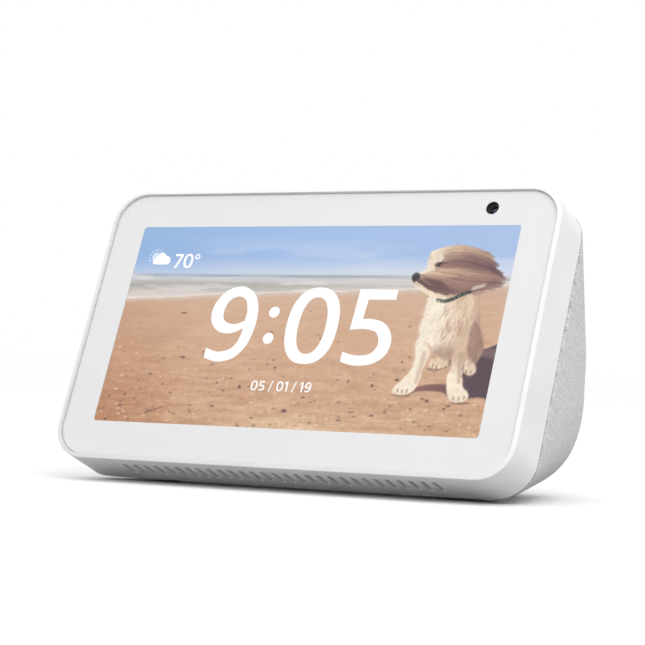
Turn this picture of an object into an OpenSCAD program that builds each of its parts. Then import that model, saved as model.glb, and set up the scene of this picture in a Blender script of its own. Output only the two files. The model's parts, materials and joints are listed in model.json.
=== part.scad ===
// Smart display: a leaned touch screen in a shallow white frame, on a fabric-covered wedge body.
// World frame: X is across, Y goes to the back, Z is up, and the origin is under the body's middle.
// Face frame: X is across, Y goes in from the glass, and Z climbs the leaned face from its low edge.
// Speaker frame: Z is the way that the speaker fires, and X is across.

/* [Face] */
// Width of the front frame
face_w = 148; // [140:1:180]
// Height of the front frame, measured up the leaned face
face_h = 86; // [82:1:104]
// Lean of the face back from upright, in degrees
tilt = 22; // [18:1:24]
// Outer corner radius of the front frame
corner_r = 10.6; // [9:0.2:14]
// Depth of the front frame's band, square to the face
band_d = 15; // [14.5:0.5:18]
// Wall of the front frame's band
band_wall = 2; // [1.6:0.1:2.2]
// Width of the chamfered lip round the glass
lip_w = 1.2; // [1:0.1:1.4]
// Fall of the lip from the glass to the outer edge
lip_drop = 0.4; // [0.2:0.1:0.6]
// Gap round the glass
glass_gap = 0.25; // [0.15:0.05:0.4]

/* [Screen] */
// White border left and right of the picture, from the frame's outer edge
side_border = 11.75; // [11:0.25:16]
// White border above and below the picture, from the frame's outer edge
top_border = 11.8; // [11:0.2:16]
// Corner radius of the picture
screen_r = 1; // [0.5:0.1:3]
// Thickness of the cover glass
glass_t = 1; // [0.7:0.1:1.2]
// Thickness of the liquid crystal panel
panel_t = 1.2; // [1:0.1:1.4]
// Thickness of the light guide
guide_t = 1.6; // [1.2:0.1:2]

/* [Body] */
// Depth of the whole body, front edge to back
depth = 73; // [70:1:88]
// Thickness of the fabric cover
fabric_t = 0.8; // [0.6:0.1:1.2]
// Wall of the rear housing
shell_wall = 2; // [1.6:0.1:2.6]
// Gap between the band and the fabric
seam_gap = 0.4; // [0.2:0.1:0.8]
// Height of the widest part of the back
bulge_z = 39.8; // [36:0.2:46]
// Radius of the upper bend of the back
bend_r = 28; // [20:1:34]
// Height of the rubber foot below the fabric
foot_proud = 0.6; // [0.4:0.1:2]
// Width of the rubber foot
foot_w = 88; // [70:1:94]
// Depth of the rubber foot
foot_d = 28; // [18:1:30]

/* [Vents] */
// Number of sound slots under the frame
slot_n = 29; // [19:2:31]
// Spacing of the slots
slot_pitch = 3.58; // [3:0.02:4]
// Width of a slot
slot_w = 1.4; // [1:0.05:1.8]
// Length of a slot
slot_l = 7.6; // [5:0.2:8]

/* [Controls] */
// Radius of the round buttons
button_r = 3.8; // [3.2:0.1:4.4]
// Spacing of the round buttons
button_pitch = 15; // [12:0.5:17]
// Travel of a button
button_travel = 0.6; // [0.3:0.1:0.8]
// Gap round a button
button_gap = 0.2; // [0.15:0.05:0.3]
// Travel of the camera shutter
shutter_travel = 6; // [5.5:0.1:7]
// Radius of the camera's window in the mask
camera_r = 1.95; // [1.6:0.05:2.1]
// Camera's place right of the middle
camera_x = 52.3; // [46:0.1:53]
// Camera's place below the frame's top edge
camera_drop = 6.5; // [6.3:0.1:6.6]

/* [Speaker] */
// Radius of the speaker's round frame
driver_r = 20; // [17:0.5:21]
// Upward aim of the speaker, in degrees
aim = 15; // [12:1:18]
// Distance of the speaker's face in from the back of the body
driver_setback = 16; // [15:0.5:18]
// Height of the speaker's centre
driver_z = 40; // [39:0.5:42]
// Width of the speaker's box
box_w = 92; // [80:1:96]
// Depth of the speaker's box
box_d = 15; // [14.5:0.5:16]
// Wall of the speaker's box
box_wall = 1.6; // [1.2:0.1:1.8]
// Travel of the cone each way
cone_travel = 1; // [0.5:0.1:1.2]

/* [Ports] */
// Width of the port recess
recess_w = 46; // [44:1:52]
// Height of the port recess
recess_h = 9.6; // [9:0.2:10]
// Distance of the port panel in from the back of the body
port_setback = 9; // [8.8:0.1:9.6]
// Spacing of the sockets
port_pitch = 14; // [13:0.5:16]
// Radius of the headphone socket's bore
audio_r = 1.82; // [1.8:0.01:1.9]
// Length of the headphone socket's bore
audio_l = 12; // [10:0.5:12.5]
// Radius of the power socket's bore
power_r = 2.1; // [1.8:0.1:2.4]

/* [Hidden] */
$fn = 48;

// Small clearances and sheet sizes used throughout.
slip = 0.15;
thread_gap = 0.05;
cut = 0.1;
thin = 0.01;
sheet_t = 0.8;
board_t = 1;
edge_r = 0.4;

// Where the face frame sits in the world frame.
y_back = depth / 2;
underside_drop = 0.7;
base_z = foot_proud;
face_y = -depth / 2 - lip_drop * cos(tilt);
face_z = base_z + underside_drop + band_d * sin(tilt);
seam_y = face_y + band_d * cos(tilt);

// Layers behind the front of the glass, as depths in the face frame.
mask_t = 0.2;
adhesive_t = 0.2;
film_t = 0.4;
tray_t = 0.4;
ledge_t = 2;
mask_y = glass_t;
adhesive_y = mask_y + mask_t;
ledge_y = adhesive_y + adhesive_t;
chassis_y = ledge_y + ledge_t;
film_y = adhesive_y + panel_t;
guide_y = film_y + film_t;
tray_y = guide_y + guide_t;
pan_y = max(chassis_y, tray_y + tray_t) + 0.2;

// Outlines across the face.
mid_z = face_h / 2;
top_z = face_h - band_wall;
inner_w = face_w - 2 * band_wall;
inner_h = face_h - 2 * band_wall;
inner_r = corner_r - band_wall;
glass_inset = lip_w + glass_gap;
glass_w = face_w - 2 * glass_inset;
glass_h = face_h - 2 * glass_inset;
glass_r = corner_r - glass_inset;
screen_w = face_w - 2 * side_border;
screen_h = face_h - 2 * top_border;
panel_edge = 2;
tray_gap = 0.3;
tray_w = screen_w + 2 * panel_edge;
tray_h = screen_h + 2 * panel_edge;
open_w = tray_w + 2 * tray_gap;
open_h = tray_h + 2 * tray_gap;
open_r = 1;

// Camera and shutter.
camera_z = face_h - camera_drop;
barrel_r = 2;
barrel_gap = 0.3;
pocket_d = 1;
guide_film_t = 0.2;
barrel_y = ledge_y + pocket_d - 0.1;
barrel_end_y = pan_y + sheet_t;
blade_t = 0.5;
blade_w = 2 * camera_r + 2.1;
blade_y = ledge_y + slip;
blade_z = camera_z - camera_r - 0.35;
shutter_x = camera_x + camera_r + 0.6 + blade_w / 2;
shutter_end = shutter_x - shutter_travel;
arm_t = 0.8;
arm_z = top_z - 0.3 - arm_t;
neck_w = 3;
neck_d = 2;
neck_gap = 0.4;
knob_w = 7;
knob_d = 4;
knob_sink = 0.8;
knob_proud = 0.9;
control_y = band_d / 2 + 1.7;

// Buttons, their board and the microphones.
button_x = [-button_pitch, 0, button_pitch];
cap_proud = 0.5;
flange_w = 0.8;
button_flange_t = 0.8;
button_flange_z = top_z - 0.2 - button_flange_t;
plunger_r = 2;
plunger_l = 2;
plunger_z = button_flange_z - plunger_l;
press_gap = 0.1;
switch_h = 2;
stem_h = 0.4;
switch_w = 4.5;
switch_z = plunger_z - button_travel - press_gap - switch_h;
button_board_z = switch_z - board_t;
button_board_y = pan_y + sheet_t + 0.3;
button_board_d = control_y + 3.9 - button_board_y;
mic_x = button_pitch + 19;
mic_h = 1.2;
pinhole_r = 0.6;
boot_r = 2.2;
post_x = button_pitch + 9.2;
post_r = 2.2;

// Six screws hold the chassis and the front frame to the rear housing.
boss_gap = 0.3;
screw_room = side_border - panel_edge - tray_gap - sheet_t - band_wall;
boss_r = min(2.6, screw_room / 2 - boss_gap);
boss_l = 14;
screw_inset = band_wall + boss_gap + boss_r;
screw_r = 1;
head_r = 1.8;
head_h = 1;
screw_l = 8;
small_screw_l = 4;
screw_spots = concat(
  [for (sx = [-1, 1], k = [0.3, 0.7]) [sx * (face_w / 2 - screw_inset), face_h * k]],
  [for (sx = [-1, 1]) [sx * face_w * 0.24, screw_inset]]
);

// Main board and what is on it.
main_w = 90;
main_h = 46;
main_x = -6;
main_z = 12;
standoff_h = 2.6;
main_y = pan_y + sheet_t + standoff_h;
main_back_y = main_y + board_t;
main_spots = [for (sx = [-1, 1], sz = [-1, 1])
  [main_x + sx * (main_w / 2 - 4), main_z + main_h / 2 + sz * (main_h / 2 - 4)]];
shield_w = 34;
shield_h = 26;
shield_t = 1.6;
shield_x = main_x - 14;
pad_t = 0.3;
spreader_y = main_back_y + shield_t + pad_t;
ribbon_w = 20;
ribbon_z = main_z + 4;

// Rear form: superellipses below the widest level and a round bend above it.
side_axis = 43.3;
back_axis = 40.4;
fall_axis = bulge_z - base_z + 0.8;
level_y = y_back - back_axis;
straight = face_w / 2 - side_axis;
plan_power = 0.71;
fall_power = 0.57;
fall_steps = 9;
bend_steps = 5;
bend_end = 40;
plan_steps = 12;
base_y = seam_y + 3;
foot_y = base_y + 2.5;
foot_r = 8;

// Speaker.
driver_y = y_back - driver_setback;
gasket_t = 0.5;
flange_t = 1.5;
box_h = 2 * driver_r + 3;
box_r = 5;
box_split = 7;
hole_r = driver_r - 2;
frame_r = hole_r - 0.4;
surround_r = frame_r - 1;
cone_gap = 0.3;
cone_r = surround_r - 1.4;
cone_t = 0.4;
coil_r = 6.2;
coil_t = 0.5;
pole_r = 5.6;
magnet_r = 13.4;
magnet_bore = 7.6;
grille_z = gasket_t + flange_t + 2;
grille_t = 1;
ear_r = driver_r + 2.2;
ear_turn = 30;

// Ports.
bezel_t = 1.5;
bezel_wall = 1;
port_room = 3;
recess_z = base_z + 6.1;
recess_r = 2.5;
port_y = y_back - port_setback;
port_z = recess_z + recess_h / 2;
socket_l = 13;
socket_y = port_y - bezel_t - socket_l;
port_board_z = port_z - 4.5;
port_board_w = 2 * port_pitch + 12;
port_post_x = port_pitch / 2;
port_post_y = socket_y + 5;

module on_face() {
  translate([0, face_y, face_z]) rotate([-tilt, 0, 0]) children();
}

module on_speaker() {
  translate([0, driver_y, driver_z]) rotate([aim - 90, 0, 0]) children();
}

// Flat rectangle with true round corners, centred.
module rounded(w, h, r) {
  square([w - 2 * r, h], center = true);
  square([w, h - 2 * r], center = true);
  for (sx = [-1, 1], sy = [-1, 1])
    translate([sx * (w / 2 - r), sy * (h / 2 - r)]) circle(r);
}

// Sheet of the face stack, from depth y to y + t, with its outline centred up the face.
module layer(y, t, z = mid_z) {
  translate([0, y + t, z]) rotate([90, 0, 0]) linear_extrude(t) children();
}

// Round bar of the face frame that goes in from depth y.
module rod_in(x, z, r, y, l) {
  translate([x, y, z]) rotate([-90, 0, 0]) cylinder(h = l, r = r);
}

// Block between two corners.
module block(low, high) {
  translate(low) cube(high - low);
}

// Ring swept round a rounded rectangle from a list of [distance in, depth] points.
module profile_ring(w, h, r, profile) {
  for (q = [0:3]) {
    span = (q % 2 == 0 ? w : h) / 2;
    run = (q % 2 == 0 ? h : w) - 2 * r;
    rotate(90 * q) {
      rotate([90, 0, 0]) linear_extrude(run, center = true)
        polygon([for (p = profile) [span - p[0], -p[1]]]);
      translate([span - r, run / 2, 0]) rotate_extrude(angle = 90)
        polygon([for (p = profile) [r - p[0], -p[1]]]);
    }
  }
}

// Pan-head screw along +Z: the shank starts at 0 and the head is below it.
module screw(l) {
  difference() {
    union() {
      cylinder(h = l, r = screw_r);
      translate([0, 0, -head_h]) cylinder(h = head_h, r = head_r);
    }
    for (turn = [0, 90])
      rotate(turn) translate([0, 0, -head_h]) cube([2.2, 0.5, 0.9], center = true);
  }
}

// Rounded outer edge of the lip, as [distance in, depth] points.
function lip_edge() = let (
    lean = atan2(lip_drop, lip_w),
    d = edge_r * (1 - sin(lean)),
    centre = (lip_w - d) * tan(lean) + edge_r * cos(lean))
  [for (i = [0:4]) let (a = (90 - lean) * i / 4)
    [edge_r * (1 - cos(a)), centre - edge_r * sin(a)]];

band_profile = concat(lip_edge(), [
  [lip_w, 0], [lip_w, ledge_y], [band_wall, ledge_y], [band_wall, band_d], [0, band_d]
]);

module opening() {
  rounded(open_w, open_h, open_r);
}

module front_frame() {
  color("white") on_face() difference() {
    union() {
      translate([0, 0, mid_z]) rotate([90, 0, 0])
        profile_ring(face_w, face_h, corner_r, band_profile);
      layer(ledge_y, ledge_t) difference() {
        rounded(inner_w + 2 * cut, inner_h + 2 * cut, inner_r + cut);
        opening();
      }
      for (sx = [-1, 1])
        translate([sx * post_x, control_y, switch_z]) cylinder(h = top_z - switch_z + cut, r = post_r);
    }
    slots();
    for (x = button_x)
      translate([x, control_y, top_z - 1]) cylinder(h = band_wall + 2, r = button_r + button_gap);
    for (sx = [-1, 1]) {
      translate([sx * mic_x, control_y, top_z - 1]) cylinder(h = band_wall + 2, r = pinhole_r);
      translate([sx * post_x, control_y, switch_z - cut]) cylinder(h = small_screw_l, r = screw_r + thread_gap);
    }
    for (s = screw_spots) {
      rod_in(s[0], s[1], head_r + slip, ledge_y - cut, head_h + cut + 0.1);
      rod_in(s[0], s[1], screw_r + slip, ledge_y, ledge_t + cut);
    }
    shutter_pocket();
    rod_in(camera_x, camera_z, barrel_r + barrel_gap, ledge_y, ledge_t + cut);
  }
}

// Sound slots through the lower wall of the band, each with round ends.
module slots() {
  mid_y = 8;
  half = (slot_l - slot_w) / 2;
  for (i = [0:slot_n - 1])
    translate([(i - (slot_n - 1) / 2) * slot_pitch, mid_y, -1]) linear_extrude(band_wall + 2) {
      square([slot_w, 2 * half], center = true);
      for (sy = [-1, 1]) translate([0, sy * half]) circle(slot_w / 2);
    }
}

// Pocket of the blade in the ledge, the way of its arm, and the track of its knob.
module shutter_pocket() {
  low_x = shutter_end - blade_w / 2 - 0.4;
  high_x = shutter_x + blade_w / 2 + 0.4;
  arm_low = shutter_end - neck_w / 2 - neck_gap;
  arm_high = shutter_x + neck_w / 2 + neck_gap;
  track = knob_w / 2 + neck_gap;
  block([low_x, ledge_y - cut, blade_z - 0.2], [high_x, ledge_y + pocket_d, top_z]);
  block([arm_low, ledge_y - cut, arm_z - 0.3], [arm_high, control_y, top_z]);
  block([arm_low, control_y - neck_d / 2 - neck_gap, top_z - cut],
    [arm_high, control_y + neck_d / 2 + neck_gap, face_h + 1]);
  block([shutter_end - track, control_y - knob_d / 2 - neck_gap, face_h - knob_sink],
    [shutter_x + track, control_y + knob_d / 2 + neck_gap, face_h + 1]);
}

module cover_glass() {
  color([0.9, 0.95, 1, 0.3]) on_face() layer(0, glass_t) rounded(glass_w, glass_h, glass_r);
}

module border_mask() {
  color("white") on_face() layer(mask_y, mask_t) difference() {
    rounded(glass_w - 0.2, glass_h - 0.2, glass_r - 0.1);
    rounded(screen_w, screen_h, screen_r);
    translate([camera_x, camera_z - mid_z]) circle(camera_r);
  }
}

module panel_adhesive() {
  color("dimgray") on_face() difference() {
    layer(adhesive_y, adhesive_t) difference() {
      rounded(glass_w - 0.8, glass_h - 0.8, glass_r - 0.4);
      opening();
      translate([camera_x, camera_z - mid_z]) circle(barrel_r + barrel_gap);
    }
    shutter_pocket();
  }
}

module lcd_panel() {
  color("black") on_face() layer(adhesive_y, panel_t) rounded(tray_w, tray_h, 0.7);
}

inside_w = tray_w - 2 * tray_t - 0.2;
inside_h = tray_h - 2 * tray_t - 0.2;
strip_h = 2.2;

module diffuser_film() {
  color("whitesmoke") on_face() layer(film_y, film_t) square([inside_w, inside_h], center = true);
}

module light_guide() {
  room = strip_h + 0.3;
  color("lightcyan") on_face() layer(guide_y, guide_t, mid_z + room / 2)
    square([inside_w, inside_h - room], center = true);
}

module led_strip() {
  low_z = mid_z - inside_h / 2;
  lamps = 10;
  step = (inside_w - 10) / (lamps - 1);
  color("khaki") on_face() {
    translate([0, tray_y - 0.5, low_z]) translate([-inside_w / 2, 0, 0]) cube([inside_w, 0.5, strip_h]);
    for (i = [0:lamps - 1])
      translate([-inside_w / 2 + 3.5 + i * step, guide_y + 0.2, low_z + 0.8])
        cube([3, guide_t - 0.7 + cut, 1.3]);
  }
}

module backlight_tray() {
  color("silver") on_face() {
    layer(tray_y, tray_t) square([tray_w, tray_h], center = true);
    layer(film_y, film_t + guide_t) difference() {
      square([tray_w, tray_h], center = true);
      square([tray_w - 2 * tray_t, tray_h - 2 * tray_t], center = true);
    }
  }
}

// Sheet frame behind the ledge, with a pan that holds the backlight.
module chassis() {
  color("slategray") on_face() difference() {
    union() {
      layer(chassis_y, sheet_t) difference() {
        rounded(inner_w - 0.4, inner_h - 0.4, inner_r - 0.2);
        opening();
      }
      layer(chassis_y, pan_y - chassis_y + sheet_t) difference() {
        rounded(open_w + 2 * sheet_t, open_h + 2 * sheet_t, open_r + sheet_t);
        opening();
      }
      layer(pan_y, sheet_t) rounded(open_w + 2 * sheet_t, open_h + 2 * sheet_t, open_r + sheet_t);
      for (s = main_spots) rod_in(s[0], s[1], 2.4, pan_y, main_y - pan_y);
    }
    for (s = main_spots) rod_in(s[0], s[1], screw_r + thread_gap, pan_y - cut, 6);
    for (s = screw_spots) rod_in(s[0], s[1], screw_r + slip, chassis_y - cut, 2);
    shutter_pocket();
    rod_in(camera_x, camera_z, barrel_r + barrel_gap, chassis_y - cut, 4);
    block([main_x - ribbon_w / 2 - 1, pan_y - cut, ribbon_z - 1], [main_x + ribbon_w / 2 + 1, pan_y + 2, ribbon_z + 1.3]);
  }
}

module chassis_screws() {
  color("gray") on_face() for (s = screw_spots)
    translate([s[0], ledge_y + head_h + 0.05, s[1]]) rotate([-90, 0, 0]) screw(screw_l);
}

module camera_barrel() {
  color("black") on_face() difference() {
    rod_in(camera_x, camera_z, barrel_r, barrel_y, barrel_end_y - barrel_y);
    rod_in(camera_x, camera_z, 1.3, barrel_y - cut, 1.3 + cut);
    rod_in(camera_x, camera_z, 0.8, barrel_y, 3);
  }
}

// Glass bead in the mouth of the barrel: a ball cut to a low dome on a short rim.
module camera_lens() {
  lens_r = 1.3;
  ball_r = 2.2;
  rise = ball_r - sqrt(ball_r * ball_r - lens_r * lens_r);
  color([0.3, 0.3, 0.5, 0.6]) on_face() intersection() {
    rod_in(camera_x, camera_z, lens_r, barrel_y + 0.1, 1.2);
    translate([camera_x, barrel_y + 0.2 + ball_r, camera_z]) sphere(ball_r);
    translate([0, -rise, 0]) rod_in(camera_x, camera_z, ball_r, barrel_y, 1.3 + rise);
  }
}

module camera_board() {
  color("darkgreen") on_face()
    block([camera_x - 4, barrel_end_y, camera_z - 3.3], [camera_x + 4, barrel_end_y + sheet_t, camera_z + 2.7]);
}

module shutter_guide() {
  low_x = shutter_end - blade_w / 2 - 0.3;
  high_x = shutter_x + blade_w / 2 + 0.3;
  film_low = ledge_y + pocket_d - guide_film_t;
  color("black") on_face() difference() {
    block([low_x, film_low, blade_z - 0.1], [high_x, film_low + guide_film_t, arm_z - 0.5]);
    rod_in(camera_x, camera_z, barrel_r + 0.05, ledge_y, 2);
  }
}

// Blade that covers the camera, and the arm that carries it back under the top wall.
module shutter_blade() {
  color("white") on_face() {
    block([shutter_x - blade_w / 2, blade_y, blade_z], [shutter_x + blade_w / 2, blade_y + blade_t, arm_z + arm_t]);
    block([shutter_x - neck_w / 2, blade_y, arm_z], [shutter_x + neck_w / 2, control_y + neck_d / 2, arm_z + arm_t]);
  }
}

module shutter_knob() {
  foot = face_h - knob_sink + slip;
  rib_n = 3;
  color("white") on_face() {
    block([shutter_x - neck_w / 2, control_y - neck_d / 2, arm_z + arm_t],
      [shutter_x + neck_w / 2, control_y + neck_d / 2, foot + cut]);
    translate([shutter_x, control_y, foot]) linear_extrude(face_h + knob_proud - foot)
      rounded(knob_w, knob_d, 1);
    for (i = [0:rib_n - 1])
      translate([shutter_x + (i - (rib_n - 1) / 2) * 1.6 - 0.25, control_y - 1.3, face_h + knob_proud - cut])
        cube([0.5, 2.6, 0.3 + cut]);
  }
}

// Round key with a flange under the wall and a softened upper edge.
module button(x) {
  h = face_h + cap_proud - button_flange_z;
  round_r = 0.5;
  translate([x, control_y, button_flange_z]) rotate_extrude() polygon(concat(
    [[0, 0], [button_r + flange_w, 0], [button_r + flange_w, button_flange_t], [button_r, button_flange_t]],
    [for (i = [0:3]) let (a = 30 * i)
      [button_r - round_r * (1 - cos(a)), h - round_r * (1 - sin(a))]],
    [[0, h]]));
}

module plunger(x) {
  translate([x, control_y, plunger_z]) cylinder(h = plunger_l, r = plunger_r);
}

module mute_button() {
  color("white") on_face() button(button_x[0]);
}

module volume_down_button() {
  color("white") on_face() button(button_x[1]);
}

module volume_up_button() {
  color("white") on_face() button(button_x[2]);
}

module mute_plunger() {
  color("gray") on_face() plunger(button_x[0]);
}

module volume_down_plunger() {
  color("gray") on_face() plunger(button_x[1]);
}

module volume_up_plunger() {
  color("gray") on_face() plunger(button_x[2]);
}

module button_switches() {
  color("black") on_face() for (x = button_x) translate([x, control_y, switch_z]) {
    translate([-switch_w / 2, -switch_w / 2, 0]) cube([switch_w, switch_w, switch_h - stem_h]);
    cylinder(h = switch_h, r = 1.2);
  }
}

module button_board() {
  half = mic_x + 4;
  color("green") on_face() difference() {
    block([-half, button_board_y, button_board_z], [half, button_board_y + button_board_d, switch_z]);
    for (sx = [-1, 1])
      translate([sx * post_x, control_y, button_board_z - cut]) cylinder(h = 2, r = screw_r + slip);
  }
}

module button_board_screws() {
  color("gray") on_face() for (sx = [-1, 1])
    translate([sx * post_x, control_y, button_board_z]) screw(small_screw_l);
}

module microphones() {
  color("gold") on_face() for (sx = [-1, 1])
    translate([sx * mic_x, control_y, switch_z + mic_h / 2]) cube([3.5, 2.7, mic_h], center = true);
}

module microphone_boots() {
  low = switch_z + mic_h;
  color("dimgray") on_face() for (sx = [-1, 1])
    translate([sx * mic_x, control_y, low]) difference() {
      cylinder(h = top_z - low, r = boot_r);
      translate([0, 0, -cut]) cylinder(h = top_z, r = pinhole_r);
    }
}

module main_board() {
  chip = 5;
  color("green") on_face() {
    difference() {
      block([main_x - main_w / 2, main_y, main_z], [main_x + main_w / 2, main_back_y, main_z + main_h]);
      for (s = main_spots) rod_in(s[0], s[1], screw_r + slip, main_y - cut, 2);
    }
    for (i = [0:3])
      block([main_x + main_w / 2 - 10, main_back_y - cut, main_z + 10 + i * 7],
        [main_x + main_w / 2 - 10 + chip, main_back_y + 0.9, main_z + 10 + i * 7 + chip]);
  }
}

module processor_shield() {
  wall = 0.2;
  low = [shield_x - shield_w / 2, main_back_y, main_z + 10];
  high = [shield_x + shield_w / 2, main_back_y + shield_t, main_z + 10 + shield_h];
  color("silver") on_face() difference() {
    block(low, high);
    block(low + [wall, -cut, wall], high - [wall, wall, wall]);
  }
}

module wireless_module() {
  color("silver") on_face()
    block([main_x + 10, main_back_y, main_z + 26], [main_x + 26, main_back_y + 1.4, main_z + 40]);
}

module thermal_pad() {
  margin = 3;
  low_y = main_back_y + shield_t;
  color("lightblue") on_face()
    block([shield_x - shield_w / 2 + margin, low_y, main_z + 10 + margin],
      [shield_x + shield_w / 2 - margin, low_y + pad_t, main_z + 10 + shield_h - margin]);
}

// Aluminium plate on four legs over the main board.
module heat_spreader() {
  color("lightgray") on_face() difference() {
    union() {
      block([main_x - main_w / 2, spreader_y, main_z], [main_x + main_w / 2, spreader_y + sheet_t, main_z + main_h]);
      for (s = main_spots) rod_in(s[0], s[1], 2.4, main_back_y, spreader_y - main_back_y + cut);
    }
    for (s = main_spots) rod_in(s[0], s[1], screw_r + slip, main_back_y - cut, 4);
  }
}

module main_board_screws() {
  color("gray") on_face() for (s = main_spots)
    translate([s[0], spreader_y + sheet_t, s[1]]) rotate([90, 0, 0]) screw(screw_l - 2);
}

// Flat cable from the backlight's pan to its socket on the main board.
module display_ribbon() {
  color("peru") on_face() {
    block([main_x - ribbon_w / 2, tray_y + tray_t, ribbon_z], [main_x + ribbon_w / 2, main_y, ribbon_z + 0.3]);
    block([main_x - ribbon_w / 2 - 0.5, main_y - 1, ribbon_z - 0.8], [main_x + ribbon_w / 2 + 0.5, main_y, ribbon_z + 1.1]);
  }
}

module antennas() {
  low_y = pan_y + sheet_t;
  color("goldenrod") on_face() for (x = [-62, 50])
    block([x, low_y, mid_z - 4], [x + 10, low_y + 0.3, mid_z + 20]);
}

// One quarter of a level outline, then the whole back half of the level.
function quarter(sx, sy) = [for (i = [0:plan_steps]) let (a = 90 * i / plan_steps)
  [sx * pow(cos(a), plan_power), sy * pow(sin(a), plan_power)]];

function level(sx, sy) = let (q = quarter(sx, sy)) concat(
  [for (p = q) [straight + p[0], level_y + p[1]]],
  [for (i = [plan_steps:-1:0]) [-straight - q[i][0], level_y + q[i][1]]]);

module level_slice(z, sx, sy) {
  translate([0, 0, z]) linear_extrude(thin) polygon(level(sx, sy));
}

// Solid form of the back, set evenly in from the outside of the fabric.
module rear_form(inset, start = band_d) {
  step_back = 0.9;
  hull() {
    on_face() layer(start, band_d + step_back - start)
      offset(r = corner_r - inset, $fn = 32)
        square([face_w - 2 * corner_r, face_h - 2 * corner_r], center = true);
    translate([-straight, base_y, base_z + inset]) cube([2 * straight, level_y - base_y, thin]);
    intersection() {
      levels(inset);
      on_face() block([-face_w, band_d, -face_h], [face_w, 3 * depth, 2 * face_h]);
    }
  }
}

// Stack of thin levels that the back is drawn over.
module levels(inset) {
  drop = fall_axis - inset;
  r = bend_r - inset;
  for (i = [0:fall_steps]) {
    z = max(base_z + inset, bulge_z - drop * pow(cos(90 * i / fall_steps), fall_power));
    k = pow(max(0, 1 - pow((bulge_z - z) / drop, 2 / fall_power)), fall_power / 2);
    level_slice(z, (side_axis - inset) * k, (back_axis - inset) * k);
  }
  for (i = [1:bend_steps]) {
    a = bend_end * i / bend_steps;
    level_slice(bulge_z + r * sin(a), side_axis - bend_r + r * cos(a), back_axis - bend_r + r * cos(a));
  }
}

module recess_plug(grow, low_y, high_y) {
  translate([0, high_y, port_z]) rotate([90, 0, 0]) linear_extrude(high_y - low_y)
    rounded(recess_w + 2 * grow, recess_h + 2 * grow, recess_r + grow);
}

module foot_outline(grow, low, high) {
  translate([0, foot_y + foot_d / 2, low]) linear_extrude(high - low)
    rounded(foot_w + 2 * grow, foot_d + 2 * grow, foot_r + grow);
}

// Hard shell under the fabric, with screw bosses, a cradle for the speaker and board posts.
module rear_housing() {
  inner = fabric_t + shell_wall;
  boss_y = chassis_y + sheet_t;
  color("dimgray") difference() {
    union() {
      difference() {
        rear_form(fabric_t);
        difference() {
          rear_form(inner, band_d - 1);
          housing_features();
        }
      }
      on_face() for (s = screw_spots) rod_in(s[0], s[1], boss_r, boss_y, band_d - boss_y + 1);
    }
    on_speaker() speaker_box_outline(0, -box_d, 0);
    on_face() for (s = screw_spots) rod_in(s[0], s[1], screw_r + thread_gap, chassis_y, screw_l);
    recess_plug(bezel_wall, port_y - bezel_t - port_room, y_back + 1);
    for (sx = [-1, 1])
      translate([sx * port_post_x, port_post_y, base_z + inner]) cylinder(h = 20, r = screw_r + thread_gap);
    sound_openings();
  }
}

// Bosses, cradle ribs and board posts, which the shell trims at its outer face.
module housing_features() {
  rib_x = recess_w / 2 + 8;
  rib_t = 2;
  rib_y = 2;
  on_face() for (s = screw_spots) rod_in(s[0], s[1], boss_r, band_d, boss_l);
  for (sx = [-1, 1]) {
    translate([sx * rib_x - rib_t / 2, rib_y, 0]) cube([rib_t, depth, driver_z]);
    translate([sx * port_post_x, port_post_y, 0]) cylinder(h = port_board_z, r = 2.4);
  }
}

// Rows of long openings in the shell in front of the speaker, hidden by the fabric.
module sound_openings() {
  rows = 5;
  pitch = 6;
  w = 30;
  h = 2.4;
  on_speaker() for (i = [0:rows - 1])
    translate([-w / 2, (i - (rows - 1) / 2) * pitch - h / 2, grille_z + grille_t]) cube([w, h, 40]);
}

module fabric_cover() {
  color("gainsboro") difference() {
    rear_form(0, band_d + seam_gap);
    rear_form(fabric_t, band_d - 1);
    recess_plug(bezel_wall, port_y - bezel_t, y_back + 1);
    foot_outline(0.2, -1, base_z + 2);
  }
}

module rubber_foot() {
  color("darkgray") difference() {
    foot_outline(0, 0, base_z + fabric_t);
    difference() {
      foot_outline(-3, -cut, 0.2);
      foot_outline(-4, -1, 1);
    }
  }
}

module speaker_box_outline(inset, low, high) {
  translate([0, 0, low]) linear_extrude(high - low)
    rounded(box_w - 2 * inset, box_h - 2 * inset, box_r - inset);
}

// Half of the box away from the speaker's face.
module speaker_box_front() {
  color("dimgray") on_speaker() difference() {
    speaker_box_outline(0, -box_d, -box_split);
    speaker_box_outline(box_wall, -box_d + box_wall, -box_split + cut);
  }
}

// Half of the box that carries the speaker.
module speaker_box_back() {
  color("dimgray") on_speaker() difference() {
    union() {
      difference() {
        speaker_box_outline(0, -box_split, 0);
        speaker_box_outline(box_wall, -box_split - cut, -box_wall);
      }
      ears() translate([0, 0, -5]) cylinder(h = 5, r = 2.4);
    }
    translate([0, 0, -box_d]) cylinder(h = 2 * box_d, r = hole_r);
    ears() translate([0, 0, -6]) cylinder(h = 7, r = screw_r + thread_gap);
  }
}

module ears() {
  for (sx = [-1, 1], sy = [-1, 1])
    translate([sx * ear_r * cos(ear_turn), sy * ear_r * sin(ear_turn), 0]) children();
}

// Round flange with four screw ears.
module flange(low, high) {
  difference() {
    translate([0, 0, low]) {
      cylinder(h = high - low, r = driver_r);
      ears() cylinder(h = high - low, r = 2.6);
    }
    ears() translate([0, 0, low - cut]) cylinder(h = high - low + 2 * cut, r = screw_r + slip);
  }
}

module speaker_gasket() {
  color("black") on_speaker() difference() {
    flange(0, gasket_t);
    translate([0, 0, -cut]) cylinder(h = 2, r = hole_r);
  }
}

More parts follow.
